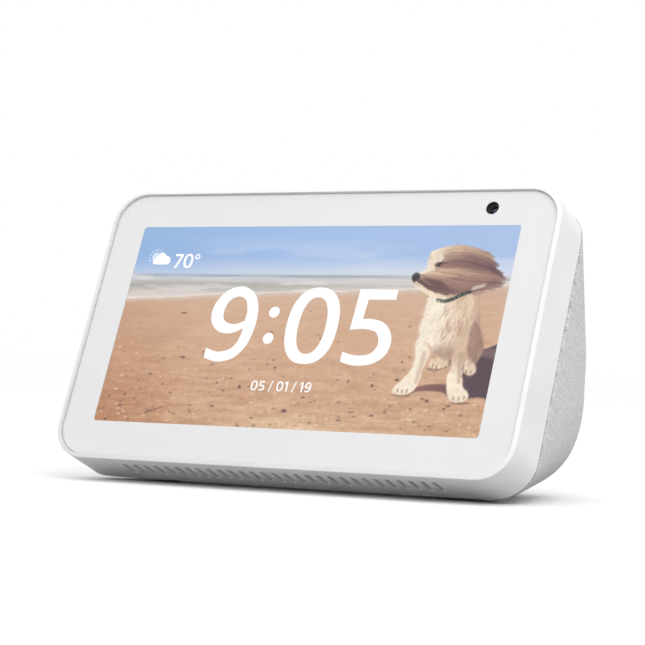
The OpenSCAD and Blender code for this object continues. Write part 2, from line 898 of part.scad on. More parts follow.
// Pressed frame of the speaker: flange, sloping windows and a back ring.
module speaker_basket() {
  ring_z = -6;
  wall = 1;
  color("gray") on_speaker() difference() {
    union() {
      flange(gasket_t, gasket_t + flange_t);
      rotate_extrude() polygon([
        [0, gasket_t + cut], [frame_r, gasket_t + cut], [magnet_r, ring_z], [magnet_r, ring_z - wall], [0, ring_z - wall]
      ]);
    }
    rotate_extrude() polygon([
      [0, gasket_t + flange_t + cut], [surround_r, gasket_t + flange_t + cut], [surround_r, gasket_t],
      [magnet_r - wall, ring_z], [0, ring_z]
    ]);
    translate([0, 0, ring_z - 2]) cylinder(h = 4, r = magnet_bore);
    for (i = [0:5])
      rotate(60 * i) translate([magnet_r - 2, -3, ring_z + 0.5]) cube([6, 6, 4.2]);
  }
}

module speaker_magnet() {
  color("dimgray") on_speaker() translate([0, 0, -11]) difference() {
    cylinder(h = 4, r = magnet_r);
    translate([0, 0, -cut]) cylinder(h = 5, r = magnet_bore);
  }
}

module speaker_pole() {
  color("silver") on_speaker() {
    translate([0, 0, -12.4]) cylinder(h = 1.4, r = magnet_r);
    translate([0, 0, -11.2]) cylinder(h = 6.2, r = pole_r);
  }
}

cone_low = -3.8;
cone_high = gasket_t + 0.5;

module speaker_cone() {
  root = coil_r + coil_t;
  color("black") on_speaker() rotate_extrude() polygon([
    [root, cone_low], [cone_r - 1, cone_high - cone_t], [cone_r, cone_high - cone_t], [cone_r, cone_high],
    [cone_r - 1.2, cone_high], [root, cone_low + cone_t + 0.1]
  ]);
}

// Shallow dome over the middle of the cone.
module dust_cap() {
  cap_r = coil_r + coil_t;
  ball_r = 9;
  sink = sqrt(ball_r * ball_r - cap_r * cap_r);
  color("black") on_speaker() translate([0, 0, cone_low + cone_t + 0.1]) intersection() {
    translate([0, 0, -sink]) difference() {
      sphere(ball_r);
      sphere(ball_r - 0.3);
    }
    cylinder(h = 5, r = cap_r);
  }
}

module voice_coil() {
  color("chocolate") on_speaker() translate([0, 0, -9.2]) difference() {
    cylinder(h = cone_low + 9.2, r = coil_r + coil_t);
    translate([0, 0, -cut]) cylinder(h = 8, r = coil_r);
  }
}

// Half roll between the cone and the frame.
module speaker_surround() {
  low = cone_r + cone_gap;
  mid = (low + surround_r) / 2;
  roll = (surround_r - low) / 2;
  top = gasket_t + flange_t;
  color("dimgray") on_speaker() rotate_extrude() difference() {
    union() {
      translate([mid, cone_high]) circle(roll);
      translate([mid, cone_high - 0.3]) square([roll, 0.3]);
    }
    translate([mid, cone_high]) circle(roll - 0.3);
    translate([low - 1, cone_high - top]) square([2 * roll + 2, top - 0.3]);
  }
}

// Pierced guard on a spacer ring in front of the cone.
module speaker_grille() {
  pitch = 3.4;
  reach = floor((surround_r - 1.5) / pitch);
  color("gray") on_speaker() {
    difference() {
      flange(gasket_t + flange_t, grille_z);
      cylinder(h = 10, r = surround_r);
    }
    difference() {
      translate([0, 0, grille_z]) cylinder(h = grille_t, r = driver_r);
      for (i = [-reach:reach], j = [-reach:reach])
        if (norm([i, j]) * pitch < surround_r - 1.5)
          translate([i * pitch, j * pitch, grille_z - cut]) cylinder(h = grille_t + 2 * cut, r = 1);
    }
  }
}

module speaker_screws() {
  color("gray") on_speaker() ears() translate([0, 0, grille_z]) rotate([180, 0, 0]) screw(screw_l);
}

// Sunk panel at the back that frames the sockets.
module port_bezel() {
  color("white") difference() {
    intersection() {
      rear_form(0);
      recess_plug(bezel_wall - slip, port_y - bezel_t, y_back + 1);
    }
    recess_plug(0, port_y, y_back + 2);
    socket_holes();
  }
}

module socket_holes() {
  translate([-port_pitch, port_y - 2, port_z]) rotate([-90, 0, 0]) cylinder(h = 3, r = power_r + 0.6);
  translate([0, port_y - 1, port_z]) cube([data_w + 0.6, 4, data_h + 0.6], center = true);
  translate([port_pitch, port_y - 2, port_z]) rotate([-90, 0, 0]) cylinder(h = 3, r = audio_r + 0.7);
}

data_w = 7.6;
data_h = 2.9;

module port_board() {
  color("green") difference() {
    block([-port_board_w / 2, socket_y, port_board_z],
      [port_board_w / 2, port_y - bezel_t - 0.5, port_board_z + board_t]);
    for (sx = [-1, 1])
      translate([sx * port_post_x, port_post_y, port_board_z - cut]) cylinder(h = 2, r = screw_r + slip);
  }
}

// Socket with a collar that comes forward into the bezel's hole.
module socket(x, half_w, top, bore_r, bore_l) {
  difference() {
    union() {
      block([x - half_w, socket_y, port_board_z + board_t], [x + half_w, port_y - bezel_t, port_z + top]);
      translate([x, port_y - bezel_t - cut, port_z]) rotate([-90, 0, 0]) cylinder(h = bezel_t + cut, r = bore_r + 0.5);
    }
    translate([x, port_y - bore_l, port_z]) rotate([-90, 0, 0]) cylinder(h = bore_l + cut, r = bore_r);
  }
}

module power_socket() {
  color("black") socket(-port_pitch, 4.5, 3.5, power_r, 9.5);
}

module power_pin() {
  color("silver") translate([-port_pitch, port_y - 9.5, port_z]) rotate([-90, 0, 0]) {
    cylinder(h = 8, r = 0.8);
    translate([0, 0, 8]) sphere(0.8);
  }
}

module data_socket() {
  wall = 0.3;
  length = 6;
  low = [-data_w / 2, port_y - length, port_z - data_h / 2];
  high = [data_w / 2, port_y, port_z + data_h / 2];
  color("silver") {
    difference() {
      block(low, high);
      block(low + [wall, 1, wall], high + [-wall, 1, -wall]);
    }
    block([-2.5, port_y - length, port_board_z + board_t], [2.5, port_y - bezel_t - 0.5, low[2] + cut]);
  }
}

module data_tongue() {
  color("black") translate([-2.2, port_y - 5, port_z + 0.2]) cube([4.4, 4, 0.6]);
}

module audio_socket() {
  color("black") socket(port_pitch, 3.5, 2.8, audio_r, audio_l);
}

module port_board_screws() {
  color("gray") for (sx = [-1, 1])
    translate([sx * port_post_x, port_post_y, port_board_z + board_t]) rotate([180, 0, 0]) screw(small_screw_l);
}

front_frame();
cover_glass();
border_mask();
panel_adhesive();
lcd_panel();
diffuser_film();
light_guide();
backlight_tray();
led_strip();
chassis();
chassis_screws();
camera_barrel();
camera_lens();
camera_board();
shutter_guide();
shutter_blade();
shutter_knob();
mute_button();
volume_down_button();
volume_up_button();
mute_plunger();
volume_down_plunger();
volume_up_plunger();
button_switches();
button_board();
button_board_screws();
microphones();
microphone_boots();
main_board();
processor_shield();
wireless_module();
thermal_pad();
heat_spreader();
main_board_screws();
display_ribbon();
antennas();
rear_housing();
fabric_cover();
rubber_foot();
speaker_box_front();
speaker_box_back();
speaker_gasket();
speaker_basket();
speaker_magnet();
speaker_pole();
speaker_cone();
dust_cap();
voice_coil();
speaker_surround();
speaker_grille();
speaker_screws();
port_bezel();
port_board();
power_socket();
power_pin();
data_socket();
data_tongue();
audio_socket();
port_board_screws();
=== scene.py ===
import json
import math

import bmesh
import bpy
import numpy as np
from mathutils import Matrix, Vector
from mathutils.bvhtree import BVHTree
from mathutils.geometry import tessellate_polygon


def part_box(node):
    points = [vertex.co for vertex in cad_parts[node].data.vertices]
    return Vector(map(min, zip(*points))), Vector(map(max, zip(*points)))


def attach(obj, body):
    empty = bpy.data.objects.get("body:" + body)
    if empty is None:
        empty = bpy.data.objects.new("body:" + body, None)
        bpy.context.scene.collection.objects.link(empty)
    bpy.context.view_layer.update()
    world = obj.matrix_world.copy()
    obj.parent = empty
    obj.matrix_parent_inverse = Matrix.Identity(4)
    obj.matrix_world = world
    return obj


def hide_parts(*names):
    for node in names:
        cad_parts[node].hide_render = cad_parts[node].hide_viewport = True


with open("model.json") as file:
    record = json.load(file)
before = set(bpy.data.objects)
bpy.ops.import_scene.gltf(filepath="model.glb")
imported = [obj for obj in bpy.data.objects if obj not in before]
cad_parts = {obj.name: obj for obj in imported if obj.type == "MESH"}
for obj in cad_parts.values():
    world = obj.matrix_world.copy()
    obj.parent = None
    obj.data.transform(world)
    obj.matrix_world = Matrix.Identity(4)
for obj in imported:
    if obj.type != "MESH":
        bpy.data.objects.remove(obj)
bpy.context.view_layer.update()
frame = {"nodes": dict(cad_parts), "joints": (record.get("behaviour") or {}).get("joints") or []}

MM = 0.001
scene = bpy.context.scene
nodes = frame["nodes"]

# ---------------------------------------------------------------- the leaned face
# The buttons press straight down the face, which gives the way it leans.
press = next(j for j in frame["joints"] if j["name"] == "mute_press")
ACROSS = Vector((1, 0, 0))
UP = -Vector(press["axis"]).normalized()
OUT = ACROSS.cross(UP)


def points_of(mesh):
    """Corners of a mesh, as an array."""
    flat = np.zeros(len(mesh.vertices) * 3)
    mesh.vertices.foreach_get("co", flat)
    return flat.reshape(-1, 3)


def new_object(name, data):
    """An object in the scene around a mesh, a camera or a light."""
    made = bpy.data.objects.new(name, data)
    scene.collection.objects.link(made)
    return made


glass = points_of(nodes["cover_glass"].data)
climb = glass @ np.array(UP)
FACE = UP * float(climb.min() + climb.max()) / 2 + OUT * float((glass @ np.array(OUT)).max())


def on_face(x, y, lift=0.0):
    """World place of a point given in metres across, up and out from the middle of the glass."""
    return FACE + ACROSS * x + UP * y + OUT * lift


# ---------------------------------------------------------------- camera
CAMERA_PLACE = (0.31915, -0.21083, 0.4937)
CAMERA_AIM = (0.0075, 0.0007)
CAMERA_LENS = 123.73
# The photograph's rightward direction along the face's axes, which also gives the camera's small roll.
CAMERA_RIGHT = ACROSS * 0.8648 + UP * 0.2153 - OUT * 0.4536


def add_camera():
    data = bpy.data.cameras.new("camera")
    data.lens = CAMERA_LENS
    data.sensor_width = 36
    data.clip_start = 0.01
    data.clip_end = 50
    camera = new_object("camera", data)
    back = (on_face(*CAMERA_PLACE) - on_face(*CAMERA_AIM)).normalized()
    up = back.cross(CAMERA_RIGHT).normalized()
    turn = Matrix((up.cross(back), up, back)).transposed().to_4x4()
    camera.matrix_world = Matrix.Translation(on_face(*CAMERA_PLACE)) @ turn
    scene.camera = camera


# ---------------------------------------------------------------- shader helpers
def srgb(red, green, blue):
    """Linear colour from screen values of 0 to 255."""
    def linear(value):
        v = value / 255
        return v / 12.92 if v <= 0.04045 else ((v + 0.055) / 1.055) ** 2.4
    return (linear(red), linear(green), linear(blue), 1.0)


class Shader:
    """A new material with its Principled shader, and short ways to add nodes to it."""

    def __init__(self, name, **values):
        self.material = bpy.data.materials.new(name)
        self.material.use_nodes = True
        self.tree = self.material.node_tree
        self.main = self.tree.nodes["Principled BSDF"]
        for key, value in values.items():
            self.main.inputs[key.replace("_", " ")].default_value = value

    def add(self, kind, **settings):
        node = self.tree.nodes.new(kind)
        for key, value in settings.items():
            setattr(node, key, value)
        return node

    def link(self, source, target):
        self.tree.links.new(source, target)

    def place(self):
        """The point's own place on the object, in metres."""
        return self.add("ShaderNodeTexCoord").outputs["Object"]

    def noise(self, scale, detail=3.0, rough=0.55, stretch=None, place=None):
        node = self.add("ShaderNodeTexNoise")
        node.inputs["Scale"].default_value = scale
        node.inputs["Detail"].default_value = detail
        node.inputs["Roughness"].default_value = rough
        place = place or self.place()
        if stretch:
            mapping = self.add("ShaderNodeMapping")
            mapping.inputs["Scale"].default_value = stretch
            self.link(place, mapping.inputs["Vector"])
            place = mapping.outputs["Vector"]
        self.link(place, node.inputs["Vector"])
        return node.outputs["Fac"]

    def spread(self, value, low, high, start=0.35, end=0.65):
        """A value spread from low to high as its source goes from start to end."""
        node = self.add("ShaderNodeMapRange")
        for key, number in (("From Min", start), ("From Max", end), ("To Min", low), ("To Max", high)):
            node.inputs[key].default_value = number
        self.link(value, node.inputs["Value"])
        return node.outputs["Result"]

    def colours(self, value, *stops):
        """Colours along a value: each stop is (position, colour)."""
        ramp = self.add("ShaderNodeValToRGB")
        bar = ramp.color_ramp.elements
        while len(bar) < len(stops):
            bar.new(0.5)
        for element, (position, colour) in zip(bar, stops):
            element.position = position
            element.color = colour
        self.link(value, ramp.inputs["Fac"])
        return ramp.outputs["Color"]

    def math(self, operation, *values):
        node = self.add("ShaderNodeMath", operation=operation)
        for socket, value in zip(node.inputs, values):
            if isinstance(value, (int, float)):
                socket.default_value = value
            else:
                self.link(value, socket)
        return node.outputs["Value"]

    def relief(self, height, depth, strength=1.0):
        """Bumps of the given depth in metres."""
        node = self.add("ShaderNodeBump")
        node.inputs["Strength"].default_value = strength
        node.inputs["Distance"].default_value = depth
        self.link(height, node.inputs["Height"])
        self.link(node.outputs["Normal"], self.main.inputs["Normal"])

    def tint(self, value, *stops):
        self.link(self.colours(value, *stops), self.main.inputs["Base Color"])

    def gloss(self, value, low, high):
        self.link(self.spread(value, low, high), self.main.inputs["Roughness"])


def shade(colour, factor):
    """A colour made lighter or darker by a factor."""
    return tuple(min(1.0, c * factor) for c in colour[:3]) + (1.0,)


# ---------------------------------------------------------------- materials
def moulded(name, colour, rough=0.42, grain=0.000012, grain_scale=3200, mottle=0.03, coat=0.0):
    """Moulded plastic with a fine spark-eroded grain and faint flow marks."""
    s = Shader(name, IOR=1.48, Coat_Weight=coat, Coat_Roughness=0.2)
    broad = s.noise(45, 2)
    s.tint(broad, (0.3, shade(colour, 1 - mottle)), (0.7, shade(colour, 1 + mottle)))
    s.gloss(s.noise(260, 3), rough - 0.05, rough + 0.06)
    s.relief(s.noise(grain_scale, 2, 0.6), grain)
    return s.material


def metal(name, colour, rough=0.32, brushed=(1, 18, 18), grain=0.000008, mottle=0.08):
    """Rolled or cast metal with fine drawn lines and a dulled, uneven skin."""
    s = Shader(name, Metallic=1.0)
    s.tint(s.noise(90, 4), (0.3, shade(colour, 1 - mottle)), (0.7, shade(colour, 1 + mottle)))
    lines = s.noise(900, 3, 0.6, stretch=brushed)
    s.gloss(lines, rough - 0.08, rough + 0.12)
    s.relief(lines, grain)
    return s.material


def rubber(name, colour, rough=0.75):
    """Soft rubber with a matt, faintly pitted skin and a little dust bloom."""
    s = Shader(name, IOR=1.5, Sheen_Weight=0.15, Sheen_Roughness=0.5)
    s.tint(s.noise(150, 5), (0.35, shade(colour, 0.9)), (0.75, shade(colour, 1.15)))
    s.gloss(s.noise(600, 3), rough - 0.08, rough + 0.08)
    s.relief(s.noise(5200, 3), 0.00002)
    return s.material


def ink(name, colour):
    """Ink printed on the back of the glass, with the faint tooth of a screen print."""
    s = Shader(name, IOR=1.45)
    s.tint(s.noise(30, 2), (0.3, shade(colour, 0.985)), (0.7, shade(colour, 1.01)))
    s.gloss(s.noise(1500, 2), 0.3, 0.4)
    s.relief(s.noise(6000, 1), 0.000003)
    return s.material


# What the coated glass mirrors straight on, and how much more at a grazing look.
GLASS_MIRROR = 0.012
GLASS_GRAZING = 0.9


def thin_glass(name):
    """Clear coated glass: a mirror that shows only as much as the glass reflects, from its front."""
    s = Shader(name, Metallic=1.0, Base_Color=(1, 1, 1, 1))
    facing = s.add("ShaderNodeLayerWeight").outputs["Facing"]
    mirror = s.math("ADD", s.math("MULTIPLY", s.math("POWER", facing, 5), GLASS_GRAZING), GLASS_MIRROR)
    front = s.math("SUBTRACT", 1, s.add("ShaderNodeNewGeometry").outputs["Backfacing"])
    s.link(s.math("MULTIPLY", mirror, front), s.main.inputs["Alpha"])
    s.gloss(s.noise(70, 4), 0.015, 0.045)
    return s.material


def lens_glass(name):
    """Dark coated lens with a violet tint in its reflections."""
    s = Shader(name, IOR=1.7, Roughness=0.04, Coat_Weight=1.0, Coat_Roughness=0.02)
    s.main.inputs["Specular Tint"].default_value = srgb(150, 130, 255)
    s.tint(s.noise(900, 2), (0.3, srgb(9, 9, 16)), (0.7, srgb(20, 15, 34)))
    return s.material


def board(name):
    """Green circuit board: solder mask over woven glass, with copper tracks under it."""
    s = Shader(name, IOR=1.5, Coat_Weight=0.4, Coat_Roughness=0.2)
    tracks = s.add("ShaderNodeTexVoronoi", feature="DISTANCE_TO_EDGE", distance="MANHATTAN")
    tracks.inputs["Scale"].default_value = 420
    s.link(s.place(), tracks.inputs["Vector"])
    edge = tracks.outputs["Distance"]
    s.tint(edge, (0.02, srgb(40, 120, 70)), (0.07, srgb(18, 74, 44)), (0.6, srgb(14, 62, 38)))
    s.gloss(s.noise(700, 2), 0.3, 0.42)
    s.relief(s.spread(edge, 1, 0, 0.02, 0.08), 0.00003)
    return s.material


def film(name, colour, glow=0.0):
    """Thin optical or polyimide film with faint stretch lines."""
    s = Shader(name, IOR=1.5, Coat_Weight=0.3, Coat_Roughness=0.15)
    s.tint(s.noise(200, 3, stretch=(1, 6, 6)), (0.3, shade(colour, 0.94)), (0.7, shade(colour, 1.04)))
    s.gloss(s.noise(900, 2), 0.18, 0.3)
    s.relief(s.noise(1200, 2, stretch=(1, 8, 8)), 0.000004)
    if glow:
        s.main.inputs["Emission Color"].default_value = colour
        s.main.inputs["Emission Strength"].default_value = glow
    return s.material


def paper(name, colour):
    """Pressed paper pulp, as speaker cones are made of."""
    s = Shader(name, IOR=1.4, Sheen_Weight=0.2)
    fibre = s.noise(2600, 5, 0.7, stretch=(1, 3, 1))
    s.tint(fibre, (0.3, shade(colour, 0.75)), (0.7, shade(colour, 1.3)))
    s.gloss(fibre, 0.75, 0.9)
    s.relief(fibre, 0.00004)
    return s.material


# Millimetres of cloth that one stitch takes up across and along, and how steep its legs are.
KNIT_COLUMN = 0.80
KNIT_ROW = 0.62
KNIT_SLANT = 1.1


def knit(name, light, dark):
    """Fine jersey knit: columns of V-shaped stitches laid along the cloth's own lengths, with painted shade
    darkening the hollows between them.
    """
    s = Shader(name, IOR=1.4, Sheen_Weight=0.35, Sheen_Roughness=0.45)
    s.main.inputs["Sheen Tint"].default_value = srgb(245, 245, 250)
    cloth = s.add("ShaderNodeUVMap", uv_map="cloth")
    wobble = s.noise(0.22, 2, place=cloth.outputs["UV"])
    parts = s.add("ShaderNodeSeparateXYZ")
    s.link(cloth.outputs["UV"], parts.inputs["Vector"])
    across = s.math("DIVIDE", parts.outputs["X"], KNIT_COLUMN)
    across = s.math("ADD", across, s.spread(wobble, -0.35, 0.35))
    side = s.math("ABSOLUTE", s.math("SUBTRACT", s.math("FRACT", across), 0.5))
    along = s.math("DIVIDE", parts.outputs["Y"], KNIT_ROW)
    along = s.math("ADD", along, s.math("MULTIPLY", side, KNIT_SLANT))
    row = s.math("ABSOLUTE", s.math("SINE", s.math("MULTIPLY", along, math.pi)))
    leg = s.math("SINE", s.math("MULTIPLY", side, 2 * math.pi))
    height = s.math("MULTIPLY", s.math("POWER", row, 0.6), s.math("POWER", leg, 0.5))
    fluff = s.noise(9000, 3, 0.7)
    height = s.math("ADD", height, s.math("MULTIPLY", fluff, 0.35))
    melange = s.noise(1.3, 3, 0.7, stretch=(1.6, 0.5, 1), place=cloth.outputs["UV"])
    # Painted shade: the colour runs from the dark colour in the low parts of the stitch relief to the light
    # yarn colour on the tops.
    yarn_and_hollow_shade = s.colours(height, (0.2, dark), (0.75, light), (1.2, shade(light, 1.06)))
    fleck = s.colours(melange, (0.35, srgb(222, 222, 224)), (0.65, srgb(255, 255, 255)))
    mix = s.add("ShaderNodeMix", data_type="RGBA", blend_type="MULTIPLY")
    mix.inputs["Factor"].default_value = 1.0
    s.link(yarn_and_hollow_shade, mix.inputs["A"])
    s.link(fleck, mix.inputs["B"])
    s.link(mix.outputs["Result"], s.main.inputs["Base Color"])
    s.gloss(fluff, 0.8, 0.95)
    s.relief(height, 0.00022, 0.9)
    return s.material


def painted(name):
    """Screen picture that gives its own light, from the colours painted on its mesh."""
    s = Shader(name, Roughness=0.35, Base_Color=(0.004, 0.004, 0.005, 1), Emission_Strength=1.0)
    paint = s.add("ShaderNodeVertexColor", layer_name="paint")
    s.link(paint.outputs["Color"], s.main.inputs["Emission Color"])
    return s.material


def glowing(name, colour):
    """Lit white marks on the screen, with the panel's fine pixel rows."""
    s = Shader(name, Roughness=0.4, Base_Color=(0.01, 0.01, 0.01, 1), Emission_Strength=1.0)
    rows = s.noise(4000, 1, stretch=(0.05, 1, 1))
    s.link(s.colours(rows, (0.3, shade(colour, 0.97)), (0.7, colour)), s.main.inputs["Emission Color"])
    return s.material


FINISHES = {
    "frame_white": lambda n: moulded(n, srgb(236, 236, 237), 0.4, coat=0.08),
    "key_white": lambda n: moulded(n, srgb(232, 232, 233), 0.46, grain_scale=2600),
    "mask_white": lambda n: ink(n, srgb(229, 229, 230)),
    "cover_glass": thin_glass,
    "lens_glass": lens_glass,
    "screen": lambda n: moulded(n, srgb(18, 18, 20), 0.25, coat=0.5),
    "optic_white": lambda n: film(n, srgb(240, 240, 242)),
    "steel": lambda n: metal(n, srgb(196, 198, 200)),
    "chassis_alloy": lambda n: metal(n, srgb(170, 172, 176), 0.45, (1, 1, 1), 0.00003),
    "dark_plastic": lambda n: moulded(n, srgb(30, 30, 32), 0.45, grain=0.00002),
    "housing_plastic": lambda n: moulded(n, srgb(58, 58, 60), 0.5, grain=0.00002),
    "rubber_grey": lambda n: rubber(n, srgb(158, 159, 160)),
    "rubber_dark": lambda n: rubber(n, srgb(34, 34, 35)),
    "board_green": board,
    "amber_film": lambda n: film(n, srgb(200, 120, 40)),
    "copper": lambda n: metal(n, srgb(205, 120, 80), 0.35),
    "magnet_iron": lambda n: metal(n, srgb(95, 96, 100), 0.5, (1, 1, 1), 0.00003),
    "basket_paint": lambda n: moulded(n, srgb(40, 40, 42), 0.55, grain=0.00003, grain_scale=1800),
    "cone_paper": lambda n: paper(n, srgb(52, 50, 48)),
    "lamp_white": lambda n: film(n, srgb(255, 246, 220), glow=0.6),
}


def finish_cad_nodes():
    """Every CAD node gets the detailed material of its own slot."""
    made = {}
    for node in nodes.values():
        for place in node.material_slots:
            slot = place.material.name.split(".")[0]
            if slot not in made and slot in FINISHES:
                made[slot] = FINISHES[slot](slot + "_finish")
            if slot in made:
                place.material = made[slot]
    nodes["panel_adhesive"].material_slots[0].material = rubber("adhesive_finish", srgb(214, 214, 215))
    return made


# ---------------------------------------------------------------- meshes
def new_piece(name, points, faces, material, smooth=True):
    """A piece that rides on the body and takes its finish from a slot."""
    mesh = bpy.data.meshes.new(name)
    mesh.from_pydata([tuple(p) for p in points], [], [tuple(f) for f in faces])
    mesh.update()
    if smooth:
        mesh.shade_smooth()
    piece = new_object(name, mesh)
    mesh.materials.append(material)
    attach(piece, "body")
    return piece


def smooth_curve(points, closed=False, steps=8):
    """A rounded line through a few points (Catmull-Rom)."""
    p = np.array(points, float)
    if closed:
        p = np.vstack([p[-1], p, p[0], p[1]])
    else:
        p = np.vstack([2 * p[0] - p[1], p, 2 * p[-1] - p[-2]])
    t = np.linspace(0, 1, steps, endpoint=False)[:, None]
    runs = []
    for a, b, c, d in zip(p, p[1:], p[2:], p[3:]):
        runs.append(0.5 * (2 * b + (c - a) * t + (2 * a - 5 * b + 4 * c - d) * t ** 2
                           + (3 * b - a - 3 * c + d) * t ** 3))
    if not closed:
        runs.append(p[-2:-1])
    return np.vstack(runs)


# The gap between the drawn glass and the ink. Corners further behind the front than this are on its back.
GLASS_AIR = 0.00004
GLASS_FRONT = 10 * GLASS_AIR


def add_glass(material):
    """The cover glass, with its back lifted a hair off the ink so that the two don't share a plane."""
    mesh = nodes["cover_glass"].data.copy()
    mesh.name = "glass_pane"
    front = FACE.dot(OUT)
    for v in mesh.vertices:
        if front - v.co.dot(OUT) > GLASS_FRONT:
            v.co += OUT * GLASS_AIR
    mesh.materials.clear()
    mesh.materials.append(material)
    pane = new_object("glass_pane", mesh)
    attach(pane, "body")
    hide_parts("cover_glass")


# ---------------------------------------------------------------- fabric
FINE_EDGE = 0.0017
WELD = 0.0004
# Each odd round of smoothing pulls in, and each even one pushes back out a little further.
SMOOTH_ROUNDS = 400
PULL, PUSH = 0.55, -0.565
SHARP = math.radians(45)
SHADE_SHARP = math.radians(40)
HEM_SETBACK, HEM_WIDTH = 0.00035, 0.0012
# Rays that measure the cloth: their spacing up and round, and the upright line that they aim at.
LEVEL_STEP = 0.001
WAY_STEP, LAST_WAY = 2, 150
RAY_AXIS_Y = -0.004
RAY_START, LEAST_REACH = 0.2, 0.01
# The most cloth that counts between two levels, and how far up the flat underside is taken to reach.
MOST_RISE = 0.006
UNDERSIDE = 0.0009


def edges_of(faces):
    """The edges of a triangle mesh, and for each triangle the numbers of its three edges."""
    ends = np.sort(np.stack([faces, np.roll(faces, -1, 1)], -1), -1).reshape(-1, 2)
    size = faces.max() + 1
    keys, numbers = np.unique(ends[:, 0] * size + ends[:, 1], return_inverse=True)
    return np.stack([keys // size, keys % size], 1), numbers.reshape(-1, 3)


def refine(points, faces, longest):
    """Cuts the edges of a triangle mesh, the longest first, until none is over a length."""
    while True:
        edges, numbers = edges_of(faces)
        length = np.linalg.norm(points[edges[:, 0]] - points[edges[:, 1]], axis=1)
        if length.max() <= longest:
            return points, faces
        cut = length > max(longest, 0.6 * length.max())
        middle = np.full(len(edges), -1)
        middle[cut] = len(points) + np.arange(cut.sum())
        points = np.vstack([points, points[edges[cut]].mean(1)])
        middles = middle[numbers]
        made = [faces[(middles < 0).all(1)]]
        for turn in range(3):
            corners, cuts = np.roll(faces, -turn, 1), np.roll(middles, -turn, 1)
            one = (cuts[:, 0] >= 0) & (cuts[:, 1] < 0) & (cuts[:, 2] < 0)
            two = (cuts[:, 0] >= 0) & (cuts[:, 1] >= 0) & (cuts[:, 2] < 0)
            (a, b, c), ab = corners[one].T, cuts[one, 0]
            made += [np.stack(t, 1) for t in ((a, ab, c), (ab, b, c))]
            (a, b, c), ab, bc = corners[two].T, cuts[two, 0], cuts[two, 1]
            made += [np.stack(t, 1) for t in ((ab, b, bc), (a, ab, bc), (a, bc, c))]
        three = (middles >= 0).all(1)
        (a, b, c), (ab, bc, ca) = faces[three].T, middles[three].T
        made += [np.stack(t, 1) for t in ((a, ab, ca), (ab, b, bc), (ca, bc, c), (ab, bc, ca))]
        faces = np.vstack(made)


def relax(points, faces, rounds):
    """Rounds the facets off (Taubin smoothing); sharp edges only run smoother along themselves."""
    edges, numbers = edges_of(faces)
    a, b, c = (points[faces[:, k]] for k in range(3))
    normals = np.cross(b - a, c - a)
    normals /= np.linalg.norm(normals, axis=1)[:, None] + 1e-20
    beside = np.argsort(numbers.ravel(), kind="stable") // 3
    turn = (normals[beside[0::2]] * normals[beside[1::2]]).sum(1)
    crease = turn < math.cos(SHARP)
    ends = np.concatenate([edges[:, 0], edges[:, 1]])
    others = np.concatenate([edges[:, 1], edges[:, 0]])
    sharp = np.concatenate([crease, crease])
    count = np.bincount(ends, sharp, len(points))
    way = points[others] - points[ends]
    way /= np.linalg.norm(way, axis=1)[:, None] + 1e-20
    bend = np.stack([np.bincount(ends, way[:, k] * sharp, len(points)) for k in range(3)], 1)
    corner = (count > 0) & ((count != 2) | (np.linalg.norm(bend, axis=1) > 2 * math.sin(SHARP / 2)))
    keep = sharp | (count[ends] == 0)
    ends, others = ends[keep], others[keep]
    total = np.bincount(ends, minlength=len(points))[:, None]
    for turn in range(rounds):
        mean = np.stack([np.bincount(ends, points[others, k], len(points)) for k in range(3)], 1) / total
        step = PULL if turn % 2 == 0 else PUSH
        points = np.where(corner[:, None], points, points + (mean - points) * step)
    return points


def set_back_hem(points):
    """Draws the cloth's front edge in behind the frame, so that the seam is a dark line."""
    reach = points @ np.array(OUT)
    share = np.clip(1 - (reach.max() - reach) / HEM_WIDTH, 0, 1)
    return points - np.array(OUT) * (HEM_SETBACK * share)[:, None]


def cloth_lengths(tree, low, high):
    """Lengths along the cloth round each level and up each way, from rays cast in from outside."""
    levels = np.arange(low + LEVEL_STEP, high, LEVEL_STEP)
    ways = np.radians(np.arange(-LAST_WAY, LAST_WAY + 1, WAY_STEP))
    grid = np.full((len(levels), len(ways), 3), np.nan)
    for i, z in enumerate(levels):
        for j, way in enumerate(ways):
            out = Vector((math.sin(way), math.cos(way), 0))
            axis = Vector((0, RAY_AXIS_Y, z))
            hit = tree.ray_cast(axis + out * RAY_START, -out)[0]
            if hit and (hit - axis).dot(out) > LEAST_REACH:
                grid[i, j] = hit
    # Straight lines bridge the port recess, where no ray meets the cloth.
    for line in grid:
        known = ~np.isnan(line[:, 0])
        if known.any():
            for k in range(3):
                line[:, k] = np.interp(ways, ways[known], line[known, k])
    middle = len(ways) // 2

    def lengths(steps):
        return np.nan_to_num(np.linalg.norm(steps, axis=-1), nan=0.0)
    round_way = np.zeros(grid.shape[:2])
    step = lengths(np.diff(grid, axis=1))
    round_way[:, middle + 1:] = np.cumsum(step[:, middle:], 1)
    round_way[:, :middle] = -np.cumsum(step[:, :middle][:, ::-1], 1)[:, ::-1]
    up_way = np.zeros(grid.shape[:2])
    up_way[1:] = np.cumsum(np.minimum(lengths(np.diff(grid, axis=0)), MOST_RISE), 0)
    return levels, ways, round_way, up_way


def sample(table, row, column):
    """Values between the entries of a table."""
    r = np.clip(row, 0, table.shape[0] - 1.001)
    c = np.clip(column, 0, table.shape[1] - 1.001)
    i, j = r.astype(int), c.astype(int)
    fr, fc = r - i, c - j
    top = table[i, j] * (1 - fc) + table[i, j + 1] * fc
    low = table[i + 1, j] * (1 - fc) + table[i + 1, j + 1] * fc
    return top * (1 - fr) + low * fr


